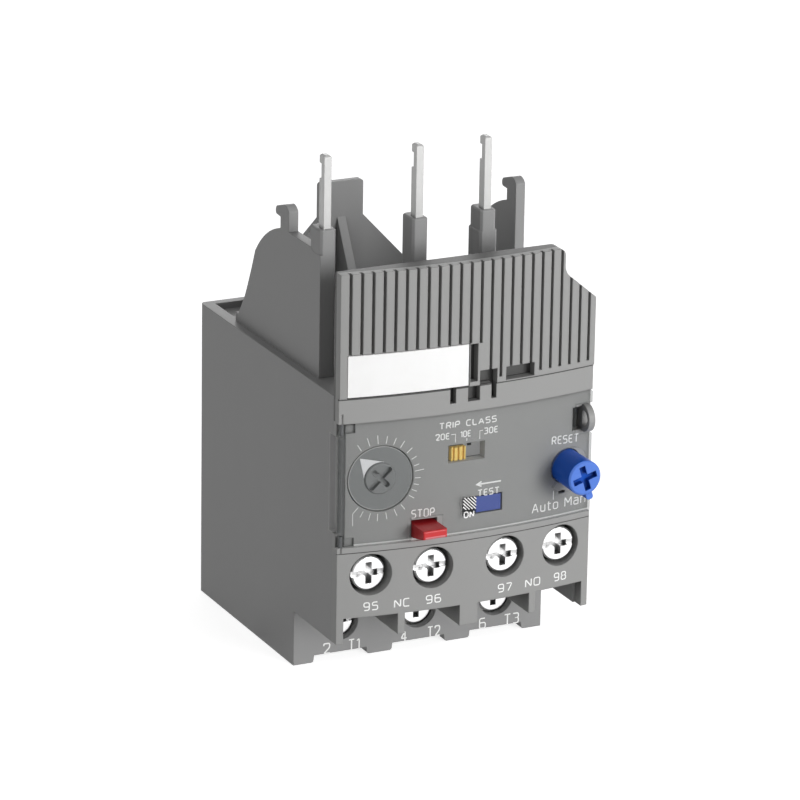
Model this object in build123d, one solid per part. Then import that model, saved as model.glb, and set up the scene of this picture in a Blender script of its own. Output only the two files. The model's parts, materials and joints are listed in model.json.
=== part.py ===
from build123d import *
import math
import os

# Electronic overload relay that hangs under a contactor by three bus bar pins and two hooks.
# Sizes are in millimetres. While a piece is built, y is its depth behind the line that joins
# the two front corners, x runs to the right and z is the height above the foot of the housing.
# The finished pieces are moved back, so that the origin lies on the rear face at its foot.

# Housing
WIDTH = 45.0
BODY_DEPTH = 53.8
BODY_HEIGHT = 50.65
WALL = 1.6
FRONT_SAG = 2.1
ACROSS = WIDTH / 45.0
FRONT_SEAM = 1.8
SIDE_FIN_BOTTOM = 9.4
RECESS_DEPTH = 15.94
TAB_HEIGHT = 1.2
TAB_WIDTH = 4.7
TAB_DRAFT = 0.25
TAB_LENGTH = 20.0
TAB_ROUND = 0.45
POCKET_OUTER = 20.5 * ACROSS
POCKET_WIDTH = 5.2
POCKET_LENGTH = 7.2
POCKET_DEPTH = 1.1
FIT = 0.15
TOUCH_GAP = 0.05

# Front panel and terminal block
TERMINAL_BOTTOM = 13.7
TERMINAL_TOP = 24.75
FIN_BOTTOM = 10.2
FIN_WIDTH = 1.2
MIDDLE_FIN_WIDTH = 3.2
FIN_SPACING = 11.7 * ACROSS
LEDGE_HEIGHT = 0.95
BAND_HEIGHT = 4.25
PANEL_WALL = 2.3
PANEL_RECESS = 0.6
BAND_SLOT_DEPTH = 1.5
BAND_SLOT_HEIGHT = 2.6
BAND_SLOTS = ((-4.0, -3.0), (-0.9, 1.2), (3.25, 4.15))
CLIP_PLACE = (-21.05 * ACROSS, -19.55 * ACROSS)
CLIP_HEIGHT = 1.4
CLIP_DEPTH = 0.4
CLIP_SLOT_HEIGHT = 0.35
CLIP_SLOT_DEPTH = 1.3
SIDE_GROOVE_WALL = 0.6
SIDE_GROOVE_CUT = 1.1
SIDE_GROOVE_BACK = 3.1
SIDE_GROOVE_END = 2.2

# Main terminals
POLE_PITCH = 14.1 * ACROSS
MAIN_SCREW_HEIGHT = 6.3
MAIN_WELL_RADIUS = 3.15
MAIN_HEAD_RADIUS = 2.75
MAIN_HEAD_SINK = 1.0
MAIN_HEAD_THICKNESS = 2.0
MAIN_SHANK_RADIUS = 1.75
WIRE_ENTRY_WIDTH = 6.4
WIRE_ENTRY_DEPTH = 6.2
ENTRY_MARGIN = 0.4
MAIN_CAGE_FRONT = 19.4
MAIN_CAGE_HEIGHT = 7.0
MAIN_CAGE_PLATE = 1.2
BAR_THICKNESS = 1.2
BAR_WIDTH = 5.2
BAR_MARGIN = 0.4

# Control terminals
CONTROL_NEAR = 6.4 * ACROSS
CONTROL_SPACING = 10.5 * ACROSS
CONTROL_SCREW_HEIGHT = 20.8
CONTROL_WELL_RADIUS = 3.5
CONTROL_HEAD_RADIUS = 2.9
CONTROL_HEAD_SINK = 0.9
CONTROL_HEAD_THICKNESS = 1.9
CONTROL_SHANK_RADIUS = 1.45
CONTROL_PLATE = 2.6
SLOT_SHARE = 0.34
SLOT_DEPTH = 0.6
CROSS_ARM_SHARE = 0.38
CROSS_SHARE = 1.25
CROSS_DEPTH = 1.4
CONTROL_POCKET_WIDTH = 7.0
CONTROL_ENTRY = 3.6
CONTROL_CAGE_FRONT = 3.0
CONTROL_CAGE_WIDTH = 6.2
CONTROL_CAGE_HEIGHT = 3.6
CONTROL_CAGE_PLATE = 0.9

# Ribbed panel and its label
RIB_PANEL_TOP = 71.1
RIB_PANEL_BACK = 1.76
RIB_PANEL_PROUD = 0.3
RIB_PANEL_TOP_RIGHT = 16.35 * ACROSS
RIB_CORNER_RADIUS = 1.2
RIB_SHOULDER = 62.0
RIB_NECK = 68.2
RIB_COUNT = 24
RIB_PITCH = 1.83 * ACROSS
RIB_FIRST = -20.9 * ACROSS
RIB_SLOT_WIDTH = 0.5
RIB_SLOT_DEPTH = 0.9
RIB_SLOT_FOOT = 0.9
LABEL_LEFT = -21.3 * ACROSS
LABEL_RIGHT = -0.8 * ACROSS
LABEL_TOP = 57.8
LABEL_SINK = 0.65
PANEL_NOTCHES = (((-0.7, 0.6), (0.7, 7.0)), ((1.0, 4.1), (-1.0, 2.4)), ((5.7, 10.9), (0.2, 2.4)))
NOTCH_MARGIN = 0.5
LABEL_THICKNESS = 0.5

# Upper frame with shields, hooks, sleeves and lug
FRAME_PLATE = 1.5
SHIELD_OUTER = 21.05 * ACROSS
SHIELD_WALL = 1.65
SHIELD_FRONT = 10.5
SHIELD_TOP = 71.5
HOOK_FRONT = 22.4
HOOK_TOP = 75.4
FRAME_BACK = 42.8
LUG_DEPTH = 47.4
LUG_WALL = 1.2
LUG_HALF_WIDTH = 3.95
LUG_TOP = 70.7
LUG_NECK = 64.6
LUG_ROUND = 0.6
LUG_WEB = 7.0
LUG_WEB_WIDTH = 1.5
LUG_HALF_FOOT = 17.1 * ACROSS
SLEEVE_WIDTH = 2.75
SLEEVE_DEPTH = 4.0
SLEEVE_TOP = 75.1
SLEEVE_STEP = 71.7
SLEEVE_STEP_WIDER = 0.4
SLEEVE_EDGE = 0.4

# Bus bar pins
PIN_PLACES = (-19.65 * ACROSS, -3.6 * ACROSS, 8.45 * ACROSS)
PIN_WIDTH = 1.25
PIN_DEPTH = 1.8
PIN_SETBACK = 0.5
PIN_TOP = 87.1
PIN_NOTCH_DROP = 1.5
PIN_NOTCH_HEIGHT = 2.5
PIN_NOTCH_DEPTH = 0.7
BAR_JOG_TOP = BODY_HEIGHT - 6.45

# Current transformers
SHELF_TOP = 22.6
SHELF_THICKNESS = 1.2
SHELF_FRONT = 24.6
CORE_WIDTH = 13.0 * ACROSS
CORE_LENGTH = 16.4
CORE_LEG = 2.2
CORE_HEIGHT = 5.0
COIL_HEIGHT = 9.4
COIL_WIDTH = 8.0
COIL_DEPTH = 6.4
FLANGE = 0.8

# Inner frame, board and trip mechanism
BULKHEAD_FRONT = 6.6
BULKHEAD = 1.0
BOARD_GAP = 0.8
BOARD_THICKNESS = 1.2
BOARD_BOTTOM = 30.0
CHIP_PLACE = (11.0 * ACROSS, 36.0)
CHIP_SIZE = 7.0
CHIP_THICKNESS = 1.2
CHIP_STANDOFF = 0.15
CHIP_LEGS = 6
CHIP_LEG_REACH = 1.0
CHIP_LEG_PITCH = 1.0
CHIP_LEG_WIDTH = 0.45
CHIP_LEG_RISE = 0.4
CAN_RADIUS = 2.2
CAN_LENGTH = 5.2
CAN_PLACES = ((-17.6 * ACROSS, 35.0), (-12.4 * ACROSS, 35.0), (-15.0 * ACROSS, 39.8))
POST_PLACE = 18.5 * ACROSS
TRIP_SHELF_TOP = 24.1
TRIP_SHELF_THICKNESS = 1.2
TRIP_SHELF_BACK = 24.0
STRIP_THICKNESS = 0.8
STRIP_WIDTH = 2.4
RIVET_RADIUS = 1.0
RIVET_HEIGHT = 0.6
CONTACT_HEIGHT = 28.0
BRIDGE_FRONT = 18.7
BRIDGE_THICKNESS = 0.6
BRIDGE_HEIGHT = 2.0
CONTACT_TRAVEL = 1.15
CARRIER_DEPTH = 1.3
CARRIER_HEIGHT = 1.6
POST_WIDTH = 2.8
FORK_GAP = 0.07
FORK_WALL = 0.6
FORK_RISE = 1.1
LEVER_PIVOT = 32.2
LEVER_TIP = 27.5
LEVER_REACH = 5.4
LEVER_WIDTH = 2.2
LEVER_THICKNESS = 1.0
LEVER_TIP_RADIUS = 0.6
LEVER_HUB_RADIUS = 1.3
LEVER_STUB_RADIUS = 0.7
CHEEK_WALL = 1.2
CHEEK_TOP = 33.8
YOKE_GAP = 0.6
YOKE_TOP = BAR_JOG_TOP - BAR_THICKNESS - YOKE_GAP
YOKE_WALL = 1.0
YOKE_WIDTH = 10.4
YOKE_DEPTH = 6.6
PLUNGER_RADIUS = 1.1

# Dial
DIAL_X = -15.35 * ACROSS
DIAL_Z = 36.63
DIAL_HOLE_RADIUS = 5.55
DIAL_RADIUS = 5.35
DIAL_FACE_SINK = 0.2
DIAL_THICKNESS = 1.0
DIAL_BOSS_RADIUS = 2.6
DIAL_BOSS_RISE = 0.25
DIAL_SLOT_WIDTH = 0.85
DIAL_SLOT_LENGTHS = (4.9, 3.9)
DIAL_SLOT_DEPTH = 0.7
DIAL_SHAFT_RADIUS = 1.5
DIAL_SHAFT_END = 6.6
POINTER_SINK = 0.3
POINTER_GAP = 0.1
POINTER_OUTLINE = ((-3.45, 3.65), (0.65, 2.7), (-2.55, -0.5))
POT_SIZE = 9.2
POT_FRONT = 4.6
POT_ROOM = 1.25

# Trip class slider
CLASS_LEFT = -3.87
CLASS_RIGHT = 2.55
CLASS_BOTTOM = 37.9
CLASS_TOP = 40.87
CLASS_KNOB_WIDTH = 2.55
CLASS_INSET = 0.55
SLIDER_SINK = 0.1
SLIDER_FLANGE = 0.8
CLASS_TRAVEL = 2.8
CLASS_SWITCH_FRONT = 3.0
CLASS_SWITCH_X = 0.5
CLASS_SWITCH_Z = (CLASS_BOTTOM + CLASS_TOP) / 2
CLASS_SWITCH_WIDTH = 10.0
CLASS_SWITCH_HEIGHT = 5.0

# Test slider
TEST_LEFT = -1.2
TEST_RIGHT = 5.95
TEST_BOTTOM = 28.65
TEST_TOP = 31.7
TEST_KNOB_WIDTH = 4.4
TEST_TRAVEL = 2.3
TEST_SPRING_START = -7.4
TEST_SPRING_DEPTH = 1.7
TEST_SPRING_RADIUS = 0.75

# Stop button
STOP_X = -7.83 * ACROSS
STOP_WIDTH = 4.2
STOP_BOTTOM = 26.3
STOP_TOP = 28.5
STOP_REACH = 3.6
STOP_BEVEL = 0.8
STOP_TRAVEL = 1.6
STOP_FLANGE = 0.7
STOP_WINDOW_RISE = 0.55
STOP_ROD_RADIUS = 0.7
STOP_ROD_X = STOP_X - 0.85

# Reset knob
RESET_X = 18.0 * ACROSS
RESET_Z = 34.0
RESET_REACH = 6.0
RESET_BASE_RADIUS = 2.8
RESET_FACE_RADIUS = 2.9
RESET_HOLE_RADIUS = 2.95
RESET_TRAVEL = 1.8
RESET_TURN = 45.0
RESET_POINTER_ANGLE = -73.0
RESET_POINTER_REACH = 3.9
RESET_POINTER_WIDTH = 1.2
RESET_POINTER_LENGTH = 2.5
RESET_STEM_RADIUS = 1.2
RESET_FLANGE_RADIUS = 3.2
RESET_CROSS = (4.2, 1.05)
RESET_CROSS_DEPTH = 1.0
RESET_PLATE = 4.2
RESET_SLIT = (-1.35, -0.15)
RESET_SLIT_DROP = (-4.55, -4.05)

# Transparent cover
COVER_THICKNESS = 0.7
COVER_PROUD = 0.3
COVER_GAP = 0.2
HINGE_X = -21.85 * ACROSS
HINGE_Y = 0.2
KNUCKLE_RADIUS = 0.6
KNUCKLE_LENGTH = 2.4
HINGE_PIN_RADIUS = 0.3
HINGE_PIN_LENGTH = 3.4
COVER_RIGHT = 22.4 * ACROSS
STOP_MARGIN = 0.45
STOP_COVER_RISE = 1.1
SEAL_X = 21.45 * ACROSS
KNOB_GAP = 0.3
KNOB_SWEEP = 0.7
KNOB_FAN = (-134.0, -57.0)
SEAL_Z = 41.7
SEAL_RADIUS = 2.3
SEAL_WALL = 1.1
SEAL_POCKET_WIDTH = 1.9
SEAL_POCKET_HEIGHT = 3.9
SEAL_REACH = 2.0
SEAL_RIM = 0.65
SEAL_HOLE_RADIUS = 1.25

# Springs
SPRING_WIRE = 0.28
SPRING_TURNS = 4.0

# Worked out from the sizes above
HALF = WIDTH / 2
INSIDE = HALF - WALL
FRONT_RADIUS = (HALF ** 2 + FRONT_SAG ** 2) / (2 * FRONT_SAG)
CAVITY_TOP = BODY_HEIGHT - WALL
CAVITY_BACK = BODY_DEPTH - WALL
FLOOR_TOP = TAB_HEIGHT + WALL
POLES = tuple(POLE_PITCH * step for step in (-1, 0, 1))
CONTROLS = tuple(side * place for side, place in
                 ((-1, CONTROL_NEAR + CONTROL_SPACING), (-1, CONTROL_NEAR),
                  (1, CONTROL_NEAR), (1, CONTROL_NEAR + CONTROL_SPACING)))
COVER_BOTTOM = TERMINAL_TOP + LEDGE_HEIGHT + COVER_GAP
COVER_TOP = BODY_HEIGHT - BAND_HEIGHT - COVER_GAP
BAND_BOTTOM = BODY_HEIGHT - BAND_HEIGHT
LEDGE_TOP = TERMINAL_TOP + LEDGE_HEIGHT
COVER_BACK = COVER_THICKNESS - COVER_PROUD
DIAL_FACE = PANEL_RECESS + DIAL_FACE_SINK
BLOCK_FLOOR = TERMINAL_BOTTOM + WALL
BAR_FRONT = MAIN_CAGE_FRONT + MAIN_CAGE_PLATE + WIRE_ENTRY_DEPTH + 2 * ENTRY_MARGIN
PIN_FRONT = SHIELD_FRONT + PIN_SETBACK
BOARD_FRONT = BULKHEAD_FRONT + BULKHEAD + BOARD_GAP
BOARD_BACK = BOARD_FRONT + BOARD_THICKNESS
BRIDGE_BACK = BRIDGE_FRONT + BRIDGE_THICKNESS
PIVOT_DEPTH = BRIDGE_FRONT + 0.35
PLUNGER_DEPTH = PIVOT_DEPTH - LEVER_REACH
CONTACT_MIDDLE = CONTROL_NEAR + CONTROL_SPACING / 2


def block(x_span, y_span, z_span):
    """A box given by its limits along each axis."""
    centre = [(low + high) / 2 for low, high in (x_span, y_span, z_span)]
    size = [high - low for low, high in (x_span, y_span, z_span)]
    return Pos(*centre) * Box(*size)


def around(middle, width):
    """The limits of a stretch of the given width about a middle."""
    return (middle - width / 2, middle + width / 2)


def rod_x(x_span, y, z, radius):
    return Pos(sum(x_span) / 2, y, z) * Rot(0, 90, 0) * Cylinder(radius, x_span[1] - x_span[0])


def rod_y(x, y_span, z, radius):
    return Pos(x, sum(y_span) / 2, z) * Rot(90, 0, 0) * Cylinder(radius, y_span[1] - y_span[0])


def rod_z(x, y, z_span, radius):
    return Pos(x, y, sum(z_span) / 2) * Cylinder(radius, z_span[1] - z_span[0])


def front_at(x):
    """Depth of the curved front at x."""
    return FRONT_RADIUS - FRONT_SAG - math.sqrt(FRONT_RADIUS ** 2 - x ** 2)


def front_round(setback):
    """The large cylinder whose surface is the curved front, set back by a distance."""
    tall = 2 * RIB_PANEL_TOP
    return Pos(0, FRONT_RADIUS - FRONT_SAG, 0) * Cylinder(FRONT_RADIUS - setback, 2 * tall)


def curved_wall(x_span, z_span, front, back):
    """A wall whose two faces follow the curved front, set back by front and back."""
    blank = block(x_span, (-2 * FRONT_SAG - 2, back + 1), z_span)
    return blank & (front_round(front) - front_round(back))


def curved_block(x_span, z_span, front, rear):
    """A block with a curved front face, set back by front, and a flat back at depth rear."""
    return block(x_span, (-2 * FRONT_SAG - 2, rear), z_span) & front_round(front)


def on_front(shape):
    """Moves a shape made at the origin to the dial, square to the curved front there."""
    tilt = -math.degrees(math.asin(-DIAL_X / FRONT_RADIUS))
    return Pos(DIAL_X, front_at(DIAL_X), DIAL_Z) * Rot(0, 0, tilt) * shape


def side_plate(points, x_span):
    """A plate across x with its outline given as depth and height pairs."""
    face = Plane.YZ * make_face(Polyline(*points, close=True))
    return Pos(x_span[0], 0, 0) * extrude(face, amount=x_span[1] - x_span[0])


def front_plate(edges, y_span):
    """A plate facing the front, made from edges drawn in x and z."""
    face = Plane.XZ * make_face(edges)
    return Pos(0, y_span[1], 0) * extrude(face, amount=y_span[1] - y_span[0])


def wound_spring(radius, length, turns):
    """A round wire spring along +Z that starts at the origin."""
    rise = length - SPRING_WIRE
    path = Helix(pitch=rise / turns, height=rise, radius=radius)
    wire = Plane(path @ 0, z_dir=path % 0) * RegularPolygon(SPRING_WIRE / 2, 6)
    return Pos(0, 0, SPRING_WIRE / 2) * sweep(wire, path=path)


def housing():
    """Grey moulded shell, open to the front, with the sunk face of the main terminals."""
    outer = side_plate([(BODY_DEPTH, 0), (BODY_DEPTH, BODY_HEIGHT), (FRONT_SEAM, BODY_HEIGHT),
                        (FRONT_SEAM, SIDE_FIN_BOTTOM), (RECESS_DEPTH, SIDE_FIN_BOTTOM),
                        (RECESS_DEPTH, 0)], (-HALF, HALF))
    below = SIDE_FIN_BOTTOM - 1
    inner_face = RECESS_DEPTH + WALL
    cavity = side_plate([(0, below), (RECESS_DEPTH, below), (RECESS_DEPTH, BLOCK_FLOOR),
                         (inner_face, BLOCK_FLOOR), (inner_face, FLOOR_TOP),
                         (CAVITY_BACK, FLOOR_TOP), (CAVITY_BACK, CAVITY_TOP), (0, CAVITY_TOP)],
                        (-INSIDE, INSIDE))
    shell = outer - cavity
    shell = fillet(shell.edges().filter_by(Axis.Z).filter_by_position(
        Axis.Y, BODY_DEPTH - 0.1, BODY_DEPTH + 0.1), 0.8)
    shelf = block((-INSIDE - 0.2, INSIDE + 0.2), (SHELF_FRONT, CAVITY_BACK + 0.2),
                  (SHELF_TOP - SHELF_THICKNESS, SHELF_TOP))
    shell += shelf
    for pole in POLES:
        half_notch = (POLE_PITCH - TAB_WIDTH) / 2
        notch = Polyline((pole - half_notch - TAB_DRAFT, -1), (pole - half_notch, TAB_HEIGHT),
                         (pole + half_notch, TAB_HEIGHT), (pole + half_notch + TAB_DRAFT, -1),
                         close=True)
        shell -= front_plate(notch, (RECESS_DEPTH - 1, RECESS_DEPTH + TAB_LENGTH))
        shell -= rod_y(pole, (RECESS_DEPTH - 1, inner_face + 1), MAIN_SCREW_HEIGHT,
                       MAIN_WELL_RADIUS)
        entry_front = MAIN_CAGE_FRONT + MAIN_CAGE_PLATE + ENTRY_MARGIN
        shell -= block(around(pole, WIRE_ENTRY_WIDTH),
                       (entry_front, entry_front + WIRE_ENTRY_DEPTH), (-1, FLOOR_TOP + 1))
        shell -= block(around(pole, BAR_WIDTH + 2 * BAR_MARGIN),
                       around(BAR_FRONT + BAR_THICKNESS / 2, BAR_THICKNESS + 2 * BAR_MARGIN),
                       (SHELF_TOP - SHELF_THICKNESS - 1, SHELF_TOP + 1))
    for place in PIN_PLACES:
        shell -= pin_hole(place, (CAVITY_TOP - 1, BODY_HEIGHT + 1))
    for side in (-1, 1):
        pocket = sorted((side * POCKET_OUTER, side * (POCKET_OUTER - POCKET_WIDTH)))
        shell -= block(pocket, (CAVITY_BACK - POCKET_LENGTH, CAVITY_BACK),
                       (BODY_HEIGHT - POCKET_DEPTH, BODY_HEIGHT + 1))
    shell -= block((-HALF - 1, -HALF + SIDE_GROOVE_CUT), (0, SIDE_GROOVE_BACK), side_groove_span())
    feet = [edge for edge in shell.edges().filter_by(Axis.Y)
            if edge.center().Z < TAB_HEIGHT / 4 and abs(edge.center().X) < HALF - 1
            and edge.length > TAB_LENGTH - 2]
    return fillet(feet, TAB_ROUND)


def side_groove_span():
    """Heights of the groove behind the hinged edge of the cover."""
    return (LEDGE_TOP + SIDE_GROOVE_END, BAND_BOTTOM - SIDE_GROOVE_END)


def pin_hole(place, z_span):
    """Hole for a bus bar pin in what it passes through."""
    return block(around(place, PIN_WIDTH + 2 * TOUCH_GAP),
                 (PIN_FRONT - TOUCH_GAP, PIN_FRONT + PIN_DEPTH + TOUCH_GAP), z_span)


def terminal_block():
    """Front block that holds the four control terminals, with fins below it."""
    z_span = (TERMINAL_BOTTOM, TERMINAL_TOP)
    inner = INSIDE - FIT
    body = curved_block((-HALF, HALF), z_span, 0, FRONT_SEAM)
    body += block((-inner, inner), (FRONT_SEAM - 0.5, RECESS_DEPTH), z_span)
    fins = [(around(side * FIN_SPACING, FIN_WIDTH), FIN_BOTTOM, RECESS_DEPTH) for side in (-1, 1)]
    fins.append((around(0, MIDDLE_FIN_WIDTH), FIN_BOTTOM, RECESS_DEPTH))
    fins.append(((-HALF, -HALF + FIN_WIDTH), SIDE_FIN_BOTTOM, FRONT_SEAM))
    fins.append(((HALF - FIN_WIDTH, HALF), SIDE_FIN_BOTTOM, FRONT_SEAM))
    for x_span, bottom, rear in fins:
        body += curved_block(x_span, (bottom, TERMINAL_BOTTOM + 0.5), 0, rear)
    for place in CONTROLS:
        body -= block(around(place, CONTROL_POCKET_WIDTH), (CONTROL_PLATE, RECESS_DEPTH + 1),
                      (BLOCK_FLOOR, TERMINAL_TOP - WALL))
        body -= rod_y(place, (-2 * FRONT_SAG, CONTROL_PLATE + 1), CONTROL_SCREW_HEIGHT,
                      CONTROL_WELL_RADIUS)
        entry_front = CONTROL_CAGE_FRONT + CONTROL_CAGE_PLATE + ENTRY_MARGIN
        body -= block(around(place, CONTROL_ENTRY), (entry_front, entry_front + CONTROL_ENTRY),
                      (TERMINAL_BOTTOM - 1, BLOCK_FLOOR + 1))
    return body


def front_panel():
    """Moulded front with the sunk field behind the cover and the plain band above it."""
    z_span = (TERMINAL_TOP, BODY_HEIGHT)
    inner = INSIDE - FIT
    wall = curved_wall((-HALF, HALF), z_span, 0, PANEL_WALL)
    limit = block((-HALF, HALF), (-2 * FRONT_SAG, FRONT_SEAM), z_span)
    limit += block((-inner, inner), (-2 * FRONT_SAG, FRONT_SEAM + PANEL_WALL),
                   (TERMINAL_TOP, CAVITY_TOP - FIT))
    panel = wall & limit
    panel += curved_block((-HALF, HALF), (CAVITY_TOP, BODY_HEIGHT), 0, FRONT_SEAM)
    panel -= curved_wall((-HALF - 1, HALF + 1), (LEDGE_TOP, BAND_BOTTOM), -1, PANEL_RECESS)
    panel += seal_lug()
    for x_span in BAND_SLOTS:
        panel -= curved_wall(x_span, (BODY_HEIGHT - BAND_SLOT_HEIGHT, BODY_HEIGHT + 1), -1,
                             BAND_SLOT_DEPTH)
    panel -= on_front(rod_y(0, (-PANEL_WALL, 2 * PANEL_WALL), 0, DIAL_HOLE_RADIUS))
    panel -= block((CLASS_LEFT, CLASS_RIGHT), (-4, 2), (CLASS_BOTTOM, CLASS_TOP))
    panel -= block((TEST_LEFT, TEST_RIGHT), (-4, 2), (TEST_BOTTOM, TEST_TOP))
    panel -= block(around(STOP_X, STOP_WIDTH + 2 * FIT), (-4, 4),
                   (STOP_BOTTOM - FIT, STOP_TOP + STOP_WINDOW_RISE))
    panel -= rod_y(RESET_X, (-4, RESET_PLATE), RESET_Z, RESET_HOLE_RADIUS)
    panel -= curved_wall([RESET_X + edge for edge in RESET_SLIT],
                         [RESET_Z + edge for edge in RESET_SLIT_DROP], -1, PANEL_RECESS + 1.2)
    panel -= block(around(SEAL_X - (SEAL_WALL + SEAL_POCKET_WIDTH) / 2, SEAL_POCKET_WIDTH), (-4, 5),
                   around(SEAL_Z, SEAL_POCKET_HEIGHT))
    panel -= block((-HALF - 1, -HALF + SIDE_GROOVE_WALL), (-1, PANEL_WALL), side_groove_span())
    for foot in (LEDGE_TOP, BAND_BOTTOM - CLIP_SLOT_HEIGHT - CLIP_HEIGHT):
        panel -= curved_wall(CLIP_PLACE, (foot, foot + CLIP_HEIGHT), -1,
                             PANEL_RECESS + CLIP_DEPTH)
    panel -= curved_wall(CLIP_PLACE, (BAND_BOTTOM - CLIP_SLOT_HEIGHT - 0.1, BAND_BOTTOM), -1,
                         CLIP_SLOT_DEPTH)
    panel -= rod_z(HINGE_X, HINGE_Y, (LEDGE_TOP, BAND_BOTTOM), KNUCKLE_RADIUS + COVER_GAP)
    for z_pin in hinge_pin_spans():
        panel -= rod_z(HINGE_X, HINGE_Y, z_pin, HINGE_PIN_RADIUS)
    spring_stop = block(around(TEST_SPRING_START - 0.4, 0.8),
                        (front_at(0) + PANEL_WALL - 0.3, TEST_SPRING_DEPTH + 0.9),
                        (STOP_TOP + STOP_COVER_RISE, TEST_TOP - 0.4))
    panel += spring_stop
    return panel


def seal_lug():
    """Round eye at the right edge that takes a sealing wire."""
    base = front_at(SEAL_X) + PANEL_RECESS
    eye = rod_x(around(SEAL_X, SEAL_WALL), front_at(SEAL_X) - SEAL_REACH + SEAL_RADIUS, SEAL_Z,
                SEAL_RADIUS)
    eye &= block(around(SEAL_X, 2 * SEAL_WALL), (-8, base + 0.3), around(SEAL_Z, 3 * SEAL_RADIUS))
    hole_depth = front_at(SEAL_X) - SEAL_REACH + SEAL_RIM + SEAL_HOLE_RADIUS
    return eye - rod_x(around(SEAL_X, 2 * SEAL_WALL), hole_depth, SEAL_Z, SEAL_HOLE_RADIUS)


def knuckle_spans():
    """Heights of the cover's lower and upper hinge knuckles."""
    return ((COVER_BOTTOM, COVER_BOTTOM + KNUCKLE_LENGTH),
            (COVER_TOP - KNUCKLE_LENGTH, COVER_TOP))


def hinge_pin_spans():
    """Heights of the two hinge pins, each half in the panel and half in its knuckle."""
    low, high = knuckle_spans()
    grip = HINGE_PIN_LENGTH / 2
    lower = (low[0] - COVER_GAP - LEDGE_HEIGHT, low[0] + grip)
    upper = (high[1] - grip, high[1] + COVER_GAP + grip)
    return (lower, upper)


def ribbed_panel():
    """Upper front panel with its upright slots, its cut corner and the label field."""
    left, right, foot = -HALF, HALF, BODY_HEIGHT
    top_right = RIB_PANEL_TOP_RIGHT
    radius = RIB_CORNER_RADIUS
    edges = [
        Line((left, foot), (left, RIB_PANEL_TOP)),
        Line((left, RIB_PANEL_TOP), (top_right - radius, RIB_PANEL_TOP)),
        RadiusArc((top_right - radius, RIB_PANEL_TOP), (top_right, RIB_PANEL_TOP - radius), radius),
        Line((top_right, RIB_PANEL_TOP - radius), (top_right, RIB_NECK)),
        RadiusArc((top_right, RIB_NECK), (top_right + 1.05, RIB_NECK - 1.95), -2.4),
        Line((top_right + 1.05, RIB_NECK - 1.95), (right, RIB_SHOULDER)),
        Line((right, RIB_SHOULDER), (right, foot)),
        Line((right, foot), (left, foot)),
    ]
    panel = front_plate(edges, (-2 * FRONT_SAG, RIB_PANEL_BACK)) & front_round(-RIB_PANEL_PROUD)
    for number in range(RIB_COUNT):
        middle = RIB_FIRST + number * RIB_PITCH
        panel -= curved_wall(around(middle, RIB_SLOT_WIDTH),
                             (slot_foot(middle), RIB_PANEL_TOP + 1),
                             -1, RIB_SLOT_DEPTH - RIB_PANEL_PROUD)
    panel -= curved_wall((LABEL_LEFT, LABEL_RIGHT), (foot - 1, LABEL_TOP), -1,
                         LABEL_SINK - RIB_PANEL_PROUD)
    for x_span, z_span in PANEL_NOTCHES:
        panel -= curved_wall(x_span, (foot + z_span[0], foot + z_span[1]), -1, BAND_SLOT_DEPTH)
    return panel


def slot_foot(x):
    """Height where a slot ends, above the label, a notch or the foot of the panel."""
    if LABEL_LEFT - RIB_SLOT_WIDTH < x < LABEL_RIGHT + RIB_SLOT_WIDTH:
        return LABEL_TOP
    for (left, right), (_, top) in PANEL_NOTCHES:
        if left - NOTCH_MARGIN < x < right + NOTCH_MARGIN:
            return BODY_HEIGHT + top
    return BODY_HEIGHT + RIB_SLOT_FOOT


def label_plate():
    """White marking plate let into the ribbed panel."""
    sink = LABEL_SINK - RIB_PANEL_PROUD
    return curved_wall((LABEL_LEFT + FIT, LABEL_RIGHT - FIT),
                       (BODY_HEIGHT + FIT, LABEL_TOP - FIT), sink - LABEL_THICKNESS, sink)


def shield_outline(front_foot):
    """Edges of a side shield in depth and height, with its hook, from the given front."""
    foot = BODY_HEIGHT
    return front_foot + [
        Line((HOOK_FRONT, SHIELD_TOP), (HOOK_FRONT, HOOK_TOP - 0.6)),
        RadiusArc((HOOK_FRONT, HOOK_TOP - 0.6), (HOOK_FRONT + 1.8, HOOK_TOP + 0.2), 2.0),
        Line((HOOK_FRONT + 1.8, HOOK_TOP + 0.2), (HOOK_FRONT + 4.2, HOOK_TOP - 0.6)),
        RadiusArc((HOOK_FRONT + 4.2, HOOK_TOP - 0.6), (HOOK_FRONT + 4.8, HOOK_TOP - 2.1), 0.9),
        Line((HOOK_FRONT + 4.8, HOOK_TOP - 2.1), (HOOK_FRONT + 3.2, HOOK_TOP - 2.2)),
        Line((HOOK_FRONT + 3.2, HOOK_TOP - 2.2), (HOOK_FRONT + 3.2, SHIELD_TOP - 0.2)),
        ThreePointArc((HOOK_FRONT + 3.2, SHIELD_TOP - 0.2), (HOOK_FRONT + 9.1, SHIELD_TOP - 3.0),
                      (HOOK_FRONT + 12.9, SHIELD_TOP - 6.7)),
        ThreePointArc((HOOK_FRONT + 12.9, SHIELD_TOP - 6.7), (HOOK_FRONT + 15.2, SHIELD_TOP - 12.1),
                      (HOOK_FRONT + 17.0, foot + 5.0)),
        Line((HOOK_FRONT + 17.0, foot + 5.0), (FRAME_BACK, foot)),
        Line((FRAME_BACK, foot), (SHIELD_FRONT, foot)),
    ]


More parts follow.
